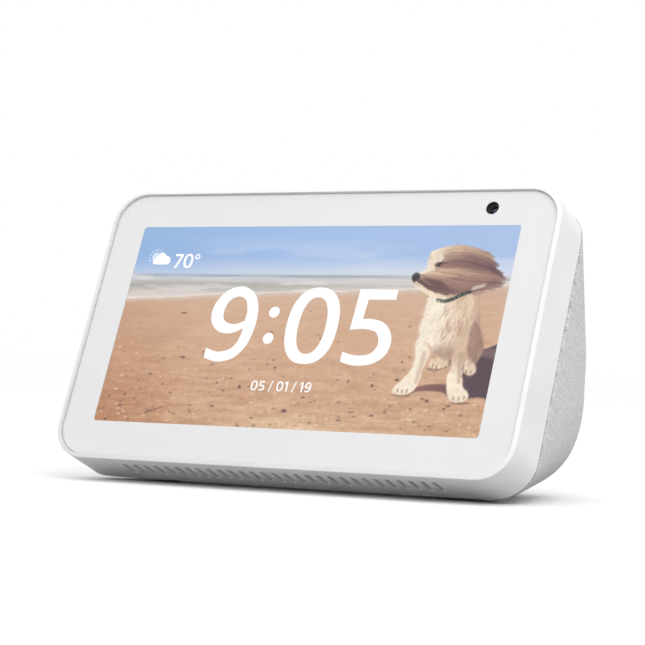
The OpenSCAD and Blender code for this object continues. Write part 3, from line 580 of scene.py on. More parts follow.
def lay_cloth_map(mesh, tree, low, high):
    """A UV map in millimetres of cloth, so that the knit keeps one size all over."""
    levels, ways, round_way, up_way = cloth_lengths(tree, low, high)
    points = points_of(mesh)
    row = (points[:, 2] - levels[0]) / (levels[1] - levels[0])
    way = np.arctan2(points[:, 0], points[:, 1] - RAY_AXIS_Y)
    column = (way - ways[0]) / (ways[1] - ways[0])
    uv = np.stack([sample(round_way, row, column), sample(up_way, row, column)], 1) / MM
    under = points[:, 2] < low + UNDERSIDE
    uv[under] = points[under, :2] / MM
    corner = np.zeros(len(mesh.loops), int)
    mesh.loops.foreach_get("vertex_index", corner)
    layer = mesh.uv_layers.new(name="cloth")
    layer.data.foreach_set("uv", uv[corner].ravel())


def add_fabric(material):
    """The knitted sleeve: the CAD shell's own form with its facets rounded off."""
    low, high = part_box("fabric_cover")
    bm = bmesh.new()
    bm.from_mesh(nodes["fabric_cover"].data)
    bmesh.ops.remove_doubles(bm, verts=bm.verts, dist=WELD)
    bmesh.ops.triangulate(bm, faces=bm.faces[:])
    tree = BVHTree.FromBMesh(bm)
    points = np.array([v.co for v in bm.verts])
    faces = np.array([[v.index for v in f.verts] for f in bm.faces])
    bm.free()
    points, faces = refine(points, faces, FINE_EDGE)
    points = relax(points, faces, SMOOTH_ROUNDS)
    points = set_back_hem(points)
    a, b, c = (points[faces[:, k]] for k in range(3))
    # The skin has an outer and an inner side, and the cloth is one of them.
    half_area = float(np.linalg.norm(np.cross(b - a, c - a), axis=1).sum()) / 4
    mesh = bpy.data.meshes.new("fabric_skin")
    mesh.from_pydata(points.tolist(), [], faces.tolist())
    mesh.shade_smooth()
    mesh.set_sharp_from_angle(angle=SHADE_SHARP)
    lay_cloth_map(mesh, tree, low.z, high.z)
    mesh.materials.append(material)
    skin = new_object("fabric_skin", mesh)
    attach(skin, "body")
    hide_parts("fabric_cover")
    return skin, tree, half_area


def seam_line(tree, depth_in):
    """Points round the cloth's front edge, in the plane that lies depth_in behind the glass."""
    rim = []
    for way in np.radians(np.arange(0, 360, 0.5)):
        out = ACROSS * math.cos(way) + UP * math.sin(way)
        middle = on_face(0, 0, -depth_in)
        hit = tree.ray_cast(middle + out * 0.2, -out)[0]
        if hit:
            rim.append(np.array(hit))
    rim = np.array(rim + rim[:1])
    run = np.concatenate([[0], np.cumsum(np.linalg.norm(np.diff(rim, axis=0), axis=1))])
    return rim, run


STITCH_PITCH = 0.00115
STITCH_R = 0.00024
STITCH_RINGS, STITCH_SIDES = 5, 6
LOOK_AHEAD = 0.0004


def add_seam_stitches(tree, material):
    """A row of small cloth loops along the seam, where the knit turns in behind the frame."""
    start = max(p.dot(OUT) for p in (Vector(q) for q in points_of(nodes["fabric_cover"].data)))
    depth_in = FACE.dot(OUT) - start + HEM_SETBACK * 0.8
    rim, run = seam_line(tree, depth_in)
    count = int(run[-1] / STITCH_PITCH)
    middle = np.array(on_face(0, 0, -depth_in))
    front = np.array(OUT)
    points, faces = [], []
    for k in range(count):
        at = run[-1] * k / count
        spot = np.array([np.interp(at, run, rim[:, c]) for c in range(3)])
        ahead = np.array([np.interp((at + LOOK_AHEAD) % run[-1], run, rim[:, c]) for c in range(3)])
        along = (ahead - spot) / np.linalg.norm(ahead - spot)
        out = spot - middle
        out -= along * out.dot(along)
        out /= np.linalg.norm(out)
        centre = spot - out * STITCH_R * 1.1
        base = len(points)
        for i in range(STITCH_RINGS + 1):
            lift = math.pi * i / STITCH_RINGS
            reach = math.sin(lift) * 0.9 + 0.12
            for j in range(STITCH_SIDES):
                a = 2 * math.pi * j / STITCH_SIDES
                points.append(centre + along * STITCH_R * 1.1 * -math.cos(lift)
                              + (out * math.cos(a) * 0.9 + front * math.sin(a) * 1.2) * STITCH_R * reach)
        for i in range(STITCH_RINGS):
            for j in range(STITCH_SIDES):
                q, r = base + i * STITCH_SIDES, (j + 1) % STITCH_SIDES
                faces.append((q + j, q + r, q + STITCH_SIDES + r, q + STITCH_SIDES + j))
        faces.append(tuple(base + j for j in reversed(range(STITCH_SIDES))))
        faces.append(tuple(base + STITCH_RINGS * STITCH_SIDES + j for j in range(STITCH_SIDES)))
    new_piece("seam_stitches", points, faces, material)


# ---------------------------------------------------------------- the screen's picture
PICTURE_W, PICTURE_H = 124.4, 62.4
PICTURE_CORNER = 1.0
PAINT_STEP = 0.28
PICTURE_DEPTH = 0.00116
MARKS_DEPTH = 0.00110


def rgb(*values):
    return np.array(values, float) / 255


def ease(low, high, value):
    """0 below low, 1 above high, and a smooth rise between."""
    t = np.clip((value - low) / (high - low), 0, 1)
    return t * t * (3 - 2 * t)


def lattice_noise(x, y, seed):
    """Smooth random values from 0 to 1 with features one unit across."""
    table = np.random.default_rng(seed).random((64, 64))
    i, j = np.floor(x).astype(int), np.floor(y).astype(int)
    fx, fy = x - i, y - j
    fx, fy = fx * fx * (3 - 2 * fx), fy * fy * (3 - 2 * fy)

    def at(a, b):
        return table[a % 64, b % 64]
    low = at(i, j) * (1 - fx) + at(i + 1, j) * fx
    high = at(i, j + 1) * (1 - fx) + at(i + 1, j + 1) * fx
    return low * (1 - fy) + high * fy


def cloudy(x, y, seed, layers=4):
    """Layered noise from -0.5 to 0.5."""
    total, weight, size = 0, 0, 1.0
    for k in range(layers):
        total = total + lattice_noise(x / size, y / size, seed + k) * size
        weight += size
        size *= 0.5
    return total / weight - 0.5


class Canvas:
    """A fine grid over the picture, painted in layers. Places are in millimetres from its middle."""

    def __init__(self):
        self.columns = round(PICTURE_W / PAINT_STEP) + 1
        self.rows = round(PICTURE_H / PAINT_STEP) + 1
        xs = np.linspace(-PICTURE_W / 2, PICTURE_W / 2, self.columns)
        ys = np.linspace(-PICTURE_H / 2, PICTURE_H / 2, self.rows)
        self.x, self.y = np.meshgrid(xs, ys)
        self.rgb = np.zeros(self.x.shape + (3,))

    def window(self, low, high):
        """The part of the grid between two corners."""
        def span(k, size, count):
            first, last = (int(np.clip(round((v[k] + size / 2) / PAINT_STEP), 0, count - 1)) for v in (low,
                                                                                                       high))
            return slice(first, last + 1)
        return span(1, PICTURE_H, self.rows), span(0, PICTURE_W, self.columns)

    def lay(self, part, tone, cover):
        """Blends a colour, or a colour for each place, over part of the grid."""
        self.rgb[part] += (tone - self.rgb[part]) * np.clip(cover, 0, 1)[..., None]

    def distance(self, part, line):
        """Distance to a line, and how far along it the nearest place is, from 0 to 1."""
        x, y = self.x[part][..., None], self.y[part][..., None]
        a, b = line[:-1], line[1:]
        d = b - a
        length = np.maximum((d ** 2).sum(1), 1e-9)
        t = np.clip(((x - a[:, 0]) * d[:, 0] + (y - a[:, 1]) * d[:, 1]) / length, 0, 1)
        gap = np.hypot(x - a[:, 0] - t * d[:, 0], y - a[:, 1] - t * d[:, 1])
        best = gap.argmin(-1)
        near = np.take_along_axis(gap, best[..., None], -1)[..., 0]
        share = (best + np.take_along_axis(t, best[..., None], -1)[..., 0]) / len(a)
        return near, share

    def shape(self, outline, tone, soft=0.3, strength=1.0):
        """Fills a closed outline with a soft edge."""
        line = smooth_curve(outline, closed=True, steps=6)
        line = np.vstack([line, line[:1]])
        part = self.window(line.min(0) - 1, line.max(0) + 1)
        near, _ = self.distance(part, line)
        x, y = self.x[part], self.y[part]
        within = np.zeros(x.shape, bool)
        for (ax, ay), (bx, by) in zip(line[:-1], line[1:]):
            if ay != by:
                crosses = ((ay > y) != (by > y)) & (x < (bx - ax) * (y - ay) / (by - ay) + ax)
                within ^= crosses
        signed = np.where(within, near, -near)
        tones = tone(x, y) if callable(tone) else tone
        self.lay(part, tones, ease(-soft, soft, signed) * strength)

    def stroke(self, line, width, tone, strength=1.0, taper=1.0):
        """A brush stroke that thins towards its end."""
        part = self.window(line.min(0) - width, line.max(0) + width)
        if self.x[part].size == 0:
            return
        near, share = self.distance(part, line)
        half = width / 2 * (1 - taper * share * 0.85)
        soft = PAINT_STEP * 0.8
        self.lay(part, tone, (1 - ease(half - soft * 0.5, half + soft, near)) * strength)

    def curve(self, points, width, tone, strength=1.0, taper=1.0, steps=8):
        """A brush stroke along a rounded line through a few points."""
        self.stroke(smooth_curve(points, steps=steps), width, tone, strength, taper)

    def blot(self, x, y, wide, high, tone, strength=1.0, soft=0.5):
        """A soft oval."""
        part = self.window((x - wide * 1.6, y - high * 1.6), (x + wide * 1.6, y + high * 1.6))
        r = np.hypot((self.x[part] - x) / wide, (self.y[part] - y) / high)
        self.lay(part, tone, (1 - ease(1 - soft, 1 + soft, r)) * strength)


def mix_down(value, stops):
    """A colour for each place, from stops of (value, colour)."""
    keys = [k for k, _ in stops]
    return np.stack([np.interp(value, keys, [c[i] for _, c in stops]) for i in range(3)], -1)


def bands(value, *stops):
    """A colour for each place, from stops of (value, red, green, blue) on the 0 to 255 scale."""
    return mix_down(value, [(key, rgb(*tone)) for key, *tone in stops])


HORIZON = 15.9


def waterline(x):
    """Height of the sea's edge on the sand."""
    wave = 0.6 * lattice_noise(x / 9, x * 0, 5)
    return 7.4 + 0.040 * (x + 62) + wave + 0.25 * lattice_noise(x / 2, x * 0, 6)


def paint_sky(c):
    x, y = c.x, c.y
    top = bands(x, (-62, 140, 174, 217), (0, 158, 185, 227), (62, 164, 189, 226))
    low = bands(x, (-62, 178, 196, 225), (0, 203, 212, 226), (62, 214, 215, 224))
    rise = ease(15, 23, y + 3 * cloudy(x / 26, y / 9, 11))[..., None]
    c.rgb[:] = low + (top - low) * rise
    veil = ease(0.02, 0.28, cloudy(x / 30, y / 5, 21)) * ease(31, 20, y) * 0.5
    c.lay(..., rgb(206, 214, 236), veil)


def paint_sea(c):
    x, y = c.x, c.y
    right = ease(-40, 45, x)[..., None]
    left_tones = bands(y, (8, 222, 208, 198), (9.6, 214, 204, 200), (11, 190, 184, 178),
                       (12.2, 164, 161, 154), (13.2, 178, 176, 172), (14.2, 200, 200, 205),
                       (15.0, 186, 190, 198), (15.7, 166, 176, 186))
    right_tones = bands(y, (9, 222, 206, 194), (11.5, 218, 206, 200), (12.6, 196, 190, 184),
                        (13.4, 210, 205, 200), (14.4, 206, 204, 202), (15.2, 190, 193, 194),
                        (15.8, 186, 190, 196))
    tones = left_tones + (right_tones - left_tones) * right
    tones = tones + 0.10 * cloudy(x / 9, y / 0.55, 31)[..., None]
    swell = ease(0.05, 0.2, cloudy(x / 16, y / 1.1, 35)) * 0.5
    tones = tones + (rgb(232, 228, 226) - tones) * swell[..., None]
    c.lay(..., tones, 1 - ease(HORIZON - 0.25, HORIZON + 0.15, y - 0.2 * lattice_noise(x / 8, x * 0, 3)))
    line = (1 - ease(0.1, 0.42, abs(y - 15.35))) * ease(30, -10, abs(x + 6) - 20) * 0.45
    c.lay(..., rgb(120, 134, 146), line)


def paint_sand(c):
    x, y = c.x, c.y
    tones = bands(y, (-31, 201, 160, 126), (-20, 201, 159, 127), (-8, 205, 165, 134), (4, 206, 168, 140),
                  (11, 205, 172, 148))
    left = ease(-25, -66, x + 0.4 * y)[..., None] * 0.062
    corner = (ease(-35, -64, x) * ease(-12, -31, y))[..., None] * 0.05
    tones = tones - left * np.array([0.75, 1.1, 1.15]) - corner * np.array([0.6, 1.1, 1.2])
    pale = np.exp(-(((x - 2) / 16) ** 2 + ((y + 31) / 5) ** 2))[..., None]
    tones = tones + pale * np.array([0.05, 0.07, 0.07])
    lower = ease(2, -24, y)
    grain = cloudy(x / 7, y / 1.1, 41) * (0.05 + 0.10 * lower)
    grain = grain + cloudy(x / 1.0, y / 0.45, 47, 3) * (0.03 + 0.07 * lower)
    tones = tones + grain[..., None] * np.array([1.0, 1.05, 1.1])
    edge = y - waterline(x)
    c.lay(..., rgb(208, 186, 170), 1 - ease(-0.2, 0.7, edge))
    c.lay(..., tones, 1 - ease(-1.5, -0.1, edge))
    rng = np.random.default_rng(7)
    foam = waterline(c.x[0])
    for px, py in zip(c.x[0][::3], foam[::3]):
        c.blot(px, py + 0.35 + 0.12 * rng.standard_normal(), 0.5 + 0.4 * rng.random(), 0.16,
               rgb(238, 228, 220), 0.55)


PEBBLES = [(-37, -10.5, 1.0, 0.32), (-46.7, -16, 0.5, 0.3), (-15.4, -19, 0.5, 0.55), (1, -25.7, 1.0, 0.5),
           (-54.5, -26, 0.7, 0.25), (-30, -27, 0.45, 0.25), (27, -17.2, 0.5, 0.4), (19.3, -16, 0.35, 0.25),
           (-23.2, -18, 0.4, 0.25), (-58.5, -30.4, 0.6, 0.3), (-50.5, -30, 0.6, 0.2),
           (34.3, -15.3, 0.7, 0.35), (34.6, -10, 0.4, 0.25), (36.6, -8.5, 0.4, 0.2),
           (44.7, -21.1, 0.6, 0.45), (50.3, -23.2, 0.4, 0.3), (-9, -28.2, 0.6, 0.2),
           (-13, -30.6, 0.6, 0.25), (7.2, -3.5, 0.25, 0.18), (-6.2, -10.5, 0.35, 0.2),
           (-5.2, -12.8, 0.3, 0.4), (-8, -12, 0.35, 0.2), (-26, -12.3, 0.3, 0.2), (-40.5, 3.5, 1.0, 0.25)]


def paint_pebbles(c):
    """Shells and pebbles: thick on the near sand, thin on the far sand."""
    rng = np.random.default_rng(19)
    dark, rust, pale = rgb(84, 56, 60), rgb(190, 112, 66), rgb(236, 208, 170)
    for _ in range(620):
        depth = rng.random() ** 0.55
        y = 6 - 37 * depth + 0.6 * rng.standard_normal()
        x = rng.uniform(-62, 62)
        size = (0.10 + 0.30 * rng.random() ** 2) * (0.5 + 0.7 * depth)
        kind = rng.random()
        tone = dark if kind < 0.42 else rust if kind < 0.56 else pale
        c.blot(x, y, size * rng.uniform(1.0, 1.9), size * 0.7, tone, rng.uniform(0.35, 0.85))
    for _ in range(150):
        x, y = rng.uniform(-62, 62), rng.uniform(-28, 7)
        tone = pale if rng.random() < 0.6 else rgb(160, 118, 96)
        c.blot(x, y, rng.uniform(0.6, 2.2), rng.uniform(0.08, 0.16), tone, 0.28)
    for x, y, wide, high in PEBBLES:
        c.blot(x + 0.15, y - 0.25, wide * 1.3, high * 0.9, rgb(150, 105, 85), 0.5)
        c.blot(x, y, wide * 0.8, high * 0.85, dark, 0.9, 0.4)
    c.curve([(-45, -28), (-43, -27.2), (-39.6, -26.1)], 0.45, rgb(110, 72, 66), 0.9)


# The dog's outlines and coat, drawn on the face's own millimetres.
HEAD = [(32.3, 14.2), (32.0, 15.6), (33.3, 16.7), (34.9, 17.3), (36.1, 17.9), (36.1, 19.2), (36.0, 20.6),
        (36.8, 22.3), (38.6, 23.7), (41.2, 24.4), (45.0, 24.4), (48.0, 23.4), (50.6, 21.8), (52.6, 19.8),
        (53.8, 17.4), (54.4, 15.0), (53.6, 13.2), (51.6, 12.0), (49.6, 10.6), (46.5, 8.9), (43.4, 8.2),
        (40.6, 8.7), (38.2, 10.2), (35.6, 11.5), (33.8, 12.8)]
BODY = [(39.0, 9.6), (38.5, 7), (38.2, 3.5), (37.9, 0), (38.1, -2.4), (37.7, -5), (38.4, -8.5),
        (38.2, -11.5), (37.4, -14), (39.3, -15.2), (40.9, -15), (41.5, -11.6), (42.3, -8.2), (42.9, -6.5),
        (45.0, -7.8), (47.4, -8.5), (49.2, -8.3), (49.7, -11), (49.5, -14.2), (51.2, -15.2), (53.3, -14.4),
        (53.2, -10.5), (53.6, -7.6), (54.6, -9.3), (56.6, -9.6), (57.8, -8), (58.1, -5.5), (57.5, -3),
        (56.2, 0), (55.3, 3), (54.5, 6), (53.6, 9.2), (52.2, 11.5), (46, 9.5)]
FRONT_LEFT_PAW = [(37.5, -13.4), (35.6, -15.6), (34.0, -17.3), (33.6, -18.7), (34.6, -19.4), (36.4, -19.7),
                  (38.6, -19.3), (40.2, -18.0), (40.9, -16), (41.0, -13.2)]
FRONT_RIGHT_PAW = [(49.5, -13.2), (49.6, -16.4), (50.2, -18.6), (51.2, -20.5), (53.2, -21.3), (55.4, -21.0),
                   (56.8, -19.7), (56.3, -18.3), (54.6, -16.8), (53.4, -13.6)]
HIND_LEFT_PAW = [(43.2, -9.6), (44.8, -8.5), (47.2, -8.7), (48.9, -9.8), (48.2, -10.9), (46.0, -11.8),
                 (43.6, -11.5), (42.8, -10.6)]
HIND_RIGHT_PAW = [(53.8, -9.2), (55.6, -9.0), (57.0, -10.4), (57.4, -12.2), (56.2, -13.3), (54.4, -13.0),
                  (53.6, -11.4)]
CREAM, TAN, TAUPE = rgb(246, 231, 210), rgb(206, 174, 147), rgb(158, 122, 106)
UMBER, SHADE = rgb(100, 68, 66), rgb(70, 49, 62)
# Each lock: its line from the face back into the wind, and its colours at the root, middle and tip.
LOCKS = [
    ([(37.0, 22.8), (41, 24.3), (46, 24.5), (52.8, 23.0)],
     CREAM, rgb(214, 184, 156), rgb(168, 134, 114)),
    ([(36.4, 21.8), (41, 23.5), (47, 23.5), (53.6, 21.6)],
     CREAM, rgb(205, 172, 146), rgb(160, 126, 110)),
    ([(36.4, 20.6), (41, 22.6), (48, 22.3), (54.6, 20.4)],
     CREAM, rgb(176, 140, 120), rgb(118, 86, 84)),
    ([(37.0, 19.6), (42, 21.4), (48.5, 21.2), (55.6, 18.5)],
     CREAM, rgb(160, 124, 108), rgb(96, 66, 70)),
    ([(40.8, 19.6), (45, 20.4), (50, 19.6), (57.4, 17.0)],
     rgb(186, 150, 126), rgb(112, 80, 78), rgb(100, 70, 74)),
    ([(40.2, 18.6), (45, 18.8), (50.5, 18.0), (57.0, 16.8)],
     rgb(170, 132, 112), rgb(134, 98, 90), rgb(128, 94, 88)),
    ([(38.4, 17.4), (44, 17.6), (50, 17.0), (56.6, 15.7)],
     rgb(222, 192, 164), rgb(198, 164, 140), rgb(160, 126, 110)),
    ([(36.4, 17.0), (43, 16.4), (50, 15.7), (58.0, 15.1)],
     rgb(232, 206, 178), rgb(178, 142, 120), rgb(142, 106, 96)),
    ([(35.2, 16.0), (42, 15.1), (50, 14.1), (57.2, 14.0)],
     rgb(214, 186, 160), rgb(160, 122, 106), rgb(120, 86, 82)),
    ([(34.8, 15.2), (40, 14.0), (47, 12.9), (56.0, 12.6)],
     rgb(150, 116, 104), rgb(150, 114, 102), rgb(150, 116, 104)),
    ([(34.6, 14.6), (38.5, 13.0), (43.5, 11.6), (51.5, 11.8)],
     UMBER, rgb(88, 58, 60), rgb(140, 106, 96)),
    ([(34.2, 14.2), (37.2, 12.7), (40.2, 11.6), (43.6, 10.0)],
     rgb(120, 90, 84), rgb(92, 62, 62), rgb(130, 96, 88)),
]


def coat(x, y):
    """The coat's colour by place: sunlit on the left, shaded on the right and low under the chest."""
    light = ease(41.5, 50.5, x + 0.10 * y)
    tones = CREAM + (TAN - CREAM) * (0.85 * light)[..., None]
    flank = ease(53.2, 56.4, x + 0.05 * y)[..., None]
    tones = tones + (TAUPE - tones) * flank * 0.75
    belly = (ease(-3.5, -7.6, y) * ease(41.5, 44.5, x) * ease(50.5, 48.5, x))[..., None]
    tones = tones + (TAUPE - tones) * belly * 0.7
    leg = ease(-7.5, -13.5, y)[..., None]
    return tones + (CREAM - tones) * leg * 0.75


def paint_shadows(c):
    c.shape([(56.5, -6.3), (59, -5.6), (64, -5.2), (66, -19.4), (60, -19.6), (56.5, -20.0), (52, -20.4),
             (49, -18.6), (44, -18.3), (40.6, -18.7), (38.5, -19.6), (38.8, -18.0), (42, -16.9),
             (46, -16.2), (50, -16.0), (53, -13.5), (55, -10.5)], lambda x,
            y: mix_down(x, [(40, rgb(132, 90, 80)), (50, rgb(104, 70, 70)), (57, SHADE), (62, SHADE)]),
            0.35, 0.95)
    c.shape([(57, -6.5), (60, -5.6), (66, -5.4), (66, -8), (60, -8.2)], rgb(128, 100, 100), 0.6, 0.75)
    c.shape([(43, -11.6), (46, -12.2), (50, -10.5), (53.5, -12.6), (56.5, -13.8), (56, -9.8), (50, -9.0)],
            rgb(88, 60, 66), 0.5, 0.8)
    c.blot(36.6, -19.9, 2.6, 0.35, UMBER, 0.7)
    c.blot(54.6, -21.4, 2.6, 0.4, UMBER, 0.7)


def fur(c, outline, count, length, heading, tone, seed, width=0.34, strength=0.7):
    """Short hairs over an outline. Heading and tone may each be a function of the place."""
    rng = np.random.default_rng(seed)
    line = smooth_curve(outline, closed=True, steps=5)
    low, high = line.min(0), line.max(0)
    made = 0
    while made < count:
        x, y = rng.uniform(low[0], high[0]), rng.uniform(low[1], high[1])
        a, b = line, np.roll(line, -1, 0)
        crossing = (a[:, 1] > y) != (b[:, 1] > y)
        rise = np.where(b[:, 1] == a[:, 1], 1e-9, b[:, 1] - a[:, 1])
        slope = (b[:, 0] - a[:, 0]) * (y - a[:, 1]) / rise + a[:, 0]
        if (crossing & (x < slope)).sum() % 2 == 0:
            continue
        made += 1
        way = (heading(x, y) if callable(heading) else heading) + 0.30 * rng.standard_normal()
        reach = length * rng.uniform(0.5, 1.2)
        bend = 0.25 * rng.standard_normal()
        tip = np.array([math.cos(way), math.sin(way)])
        side = np.array([-tip[1], tip[0]])
        root = np.array([x, y]) - tip * reach * 0.4
        hair = smooth_curve([root, root + tip * reach * 0.5 + side * bend * reach * 0.3,
                             root + tip * reach], steps=3)
        base = tone(np.array(x), np.array(y)) if callable(tone) else tone
        base = base * (1 + 0.06 * rng.standard_normal())
        c.stroke(hair, width * rng.uniform(0.6, 1.3), np.clip(base, 0, 1), strength * rng.uniform(0.5, 1))


def paint_locks(c, count=3000):
    """Long hair streaming back from the face: strokes laid between the listed locks."""
    rng = np.random.default_rng(23)
    lines = []
    for points, *_ in LOCKS:
        (ax, ay), (bx, by) = points[-2:]
        lines.append(smooth_curve(points + [(2 * bx - ax - 2.5, 2 * by - ay)], steps=10))
    ends = 3 / 4  # Past here a line is the wisp added to its listed part.
    for k in range(count):
        at = rng.uniform(0, len(LOCKS) - 1)
        i = int(at)
        f = at - i
        line = lines[i] * (1 - f) + lines[i + 1] * f
        broad = k < count * 0.25
        first = rng.uniform(0, 0.72 * ends) if k % 9 else rng.uniform(0.5, 0.68)
        last = min(rng.uniform(0.90, 1.0) * ends, first + rng.uniform(0.2, 0.5))
        if k % 9 == 0:
            last = rng.uniform(0.78, 0.93)
        a, b = int(first * (len(line) - 1)), int(last * (len(line) - 1))
        if b - a < 2:
            continue
        piece = line[a:b + 1] + rng.standard_normal(2) * 0.16
        sway = rng.standard_normal() * 0.3
        piece[:, 1] += sway * np.linspace(0, 1, len(piece)) ** 2
        middle = min((first + last) / 2 / ends, 1.0)
        tones = []
        for _, root, mid, end in (LOCKS[i], LOCKS[i + 1]):
            tones.append(mix_down(np.array(middle), [(0.08, root), (0.5, mid), (0.95, end)]))
        tone = (tones[0] * (1 - f) + tones[1] * f) * (1 + (0.03 if broad else 0.11) * rng.standard_normal())
        width = rng.uniform(0.7, 1.1) if broad else rng.uniform(0.18, 0.42)
        c.stroke(piece, width, np.clip(tone, 0, 1), 0.8 if broad else rng.uniform(0.3, 0.75))


def paint_face(c):
    fur(c, [(33.5, 16.2), (36.2, 17.6), (36.2, 20.5), (37.2, 22.4), (39.4, 23.2), (40.2, 20.8),
            (38.4, 19.0), (38.6, 17.6)], 260, 1.1, lambda x, y: 0.7 if y > 18 else 0.25,
        CREAM + (TAN - CREAM) * 0.25, 61, 0.3, 0.55)
    fur(c, [(33.2, 13.8), (35.2, 12.6), (38.4, 10.9), (41.5, 9.7), (44.6, 9.6), (42.5, 8.8), (40.4, 9.0),
            (37.8, 10.5), (35.2, 11.9), (33.6, 13.0)], 220, 1.3, -0.6, rgb(240, 222, 196), 62, 0.32, 0.7)
    for dx in np.linspace(0, 1, 26):
        start = np.array([34.6 + 6.5 * dx, 15.2 - 1.0 * dx])
        whisker = smooth_curve([start, start + (2.2, -1.4), start + (4.6, -2.5 - 0.8 * dx)], steps=4)
        c.stroke(whisker, 0.34, UMBER if dx > 0.12 else TAUPE, 0.55)
    c.blot(39.6, 19.2, 1.35, 0.75, rgb(120, 88, 78), 0.75)
    c.blot(39.2, 19.2, 0.85, 0.58, rgb(30, 24, 30), 0.97, 0.3)
    c.curve([(39.0, 19.6), (40.6, 19.8), (42.6, 19.6)], 0.6, rgb(62, 42, 44), 0.9)
    c.curve([(38.6, 18.8), (38.8, 17.8), (39.4, 16.9)], 0.5, rgb(150, 112, 92), 0.7)
    c.blot(39.0, 19.4, 0.16, 0.14, rgb(190, 190, 205), 0.9)
    c.shape([(31.9, 15.6), (32.3, 16.5), (33.3, 16.8), (34.2, 16.3), (34.4, 15.4), (33.7, 14.3),
             (32.8, 13.9), (32.1, 14.6)], rgb(44, 38, 44), 0.22)
    c.blot(33.0, 16.2, 0.75, 0.3, rgb(112, 104, 112), 0.6)
    c.blot(32.6, 15.2, 0.3, 0.22, rgb(16, 13, 18), 0.8)
    c.curve([(32.8, 13.9), (33.8, 13.2), (35.2, 12.6)], 0.35, rgb(120, 90, 84), 0.6)


def paint_collar(c):
    band = smooth_curve([(41.4, 8.5), (43.6, 8.2), (46.0, 8.9), (48.4, 10.2), (51.0, 11.2)], steps=10)
    c.stroke(band, 0.95, rgb(34, 46, 46), 0.95, taper=0.0)
    rng = np.random.default_rng(31)
    for k in range(26):
        x, y = band[int(k / 26 * (len(band) - 1))] + rng.standard_normal(2) * 0.2
        tone = (rgb(96, 120, 100), rgb(16, 18, 26), rgb(150, 150, 140))[k % 3]
        c.blot(x, y, 0.22, 0.18, tone, 0.8)
    for k in range(9):
        start = np.array([51.0 + 0.42 * k, 11.6 + 0.12 * k])
        c.curve([start, start + (0.35, 0.5), start + (0.5, 1.1)], 0.34, rgb(238, 226, 212), 0.8, steps=3)
        c.curve([start, start + (0.4, -0.8), start + (1.4, -1.6)], 0.34, UMBER, 0.4, steps=3)


def paint_dog(c):
    paint_shadows(c)

    def down(x, y):
        return -math.pi / 2 + 0.06 * (x - 46)

    def chest(x, y):
        return -math.pi / 2 + 0.12 * (46 - x) * (-1 if x < 46 else 0.2)

    def breast_way(x, y):
        return -1.9 + 0.05 * (x - 46)
    for paw in (HIND_RIGHT_PAW, HIND_LEFT_PAW):
        c.shape(paw, rgb(214, 186, 158), 0.25)
        fur(c, paw, 70, 1.0, down, rgb(232, 210, 184), 71)
    c.shape(BODY, coat, 0.22)
    fur(c, BODY, 500, 3.4, chest, lambda x, y: coat(x, y) * 0.80, 80, 0.5, 0.3)
    fur(c, BODY, 2200, 2.0, chest, coat, 72, 0.28, 0.5)
    breast = [(42.5, 8), (46, 8.6), (51, 10.4), (52.6, 8), (51.6, 3), (50.2, -1), (47.6, -3.4), (45.2, -1),
              (43.6, 3)]
    fur(c, breast, 90, 3.6, breast_way, TAUPE, 73, 0.7, 0.4)
    fur(c, breast, 80, 3.2, breast_way, CREAM, 79, 0.6, 0.4)
    fur(c, breast, 260, 2.4, breast_way, lambda x, y: coat(x, y) * 1.08, 74, 0.28, 0.5)
    haunch = [(53.9, 2), (55.6, 1), (57.2, -3), (57.8, -6), (56.8, -9), (54.6, -8.6), (53.8, -4)]
    fur(c, haunch, 260, 1.8, down, rgb(150, 117, 103), 75, 0.35, 0.4)
    c.curve([(53.6, 1), (53.5, -3), (53.6, -8)], 0.7, rgb(122, 90, 82), 0.35)
    for k in range(5):
        c.curve([(42.6, -6.4 + 0.15 * k), (41.4, -5.2 + 0.2 * k), (39.9, -4.8 + 0.3 * k)], 0.6,
                 rgb(196, 162, 138), 0.22)
    for leg, seed in ((FRONT_LEFT_PAW, 76), (FRONT_RIGHT_PAW, 77)):
        c.shape(leg, lambda x, y: CREAM + (TAN - CREAM) * 0.3 * ease(-17, -21, y)[..., None], 0.22)
        fur(c, leg, 170, 1.2, down, rgb(238, 220, 196), seed, 0.3, 0.45)
    for k in range(7):
        c.curve([(41.4 - 0.2 * k, -7), (41.2 - 0.16 * k, -11), (40.4 - 0.1 * k, -16)], 0.8,
                 rgb(196, 164, 138), 0.16, taper=0.4)
        c.curve([(53.0 - 0.2 * k, -7), (53.0 - 0.16 * k, -11), (53.4 - 0.1 * k, -15.5)], 0.8,
                 rgb(186, 152, 128), 0.18, taper=0.4)
    for x, y in [(35.2, -19.0), (36.6, -19.3), (38.0, -19.1), (52.4, -20.8), (54.0, -20.9), (55.6, -20.4),
                 (44.2, -11.5), (45.4, -11.8), (54.6, -12.9), (56.0, -13.0)]:
        c.curve([(x, y + 0.9), (x + 0.05, y + 0.3), (x - 0.1, y)], 0.3, rgb(110, 76, 62), 0.75, steps=3)
    c.shape(HEAD, lambda x, y: mix_down(x, [(33, CREAM), (39, rgb(230, 204, 176)), (46, TAN), (55, TAUPE)]),
            0.25)
    paint_locks(c)
    paint_face(c)
    paint_collar(c)
    fur(c, [(39.0, 9.2), (41.5, 8.0), (44, 7.5), (43, 5), (39, 5)], 90, 1.6, down, CREAM, 78, 0.35, 0.45)


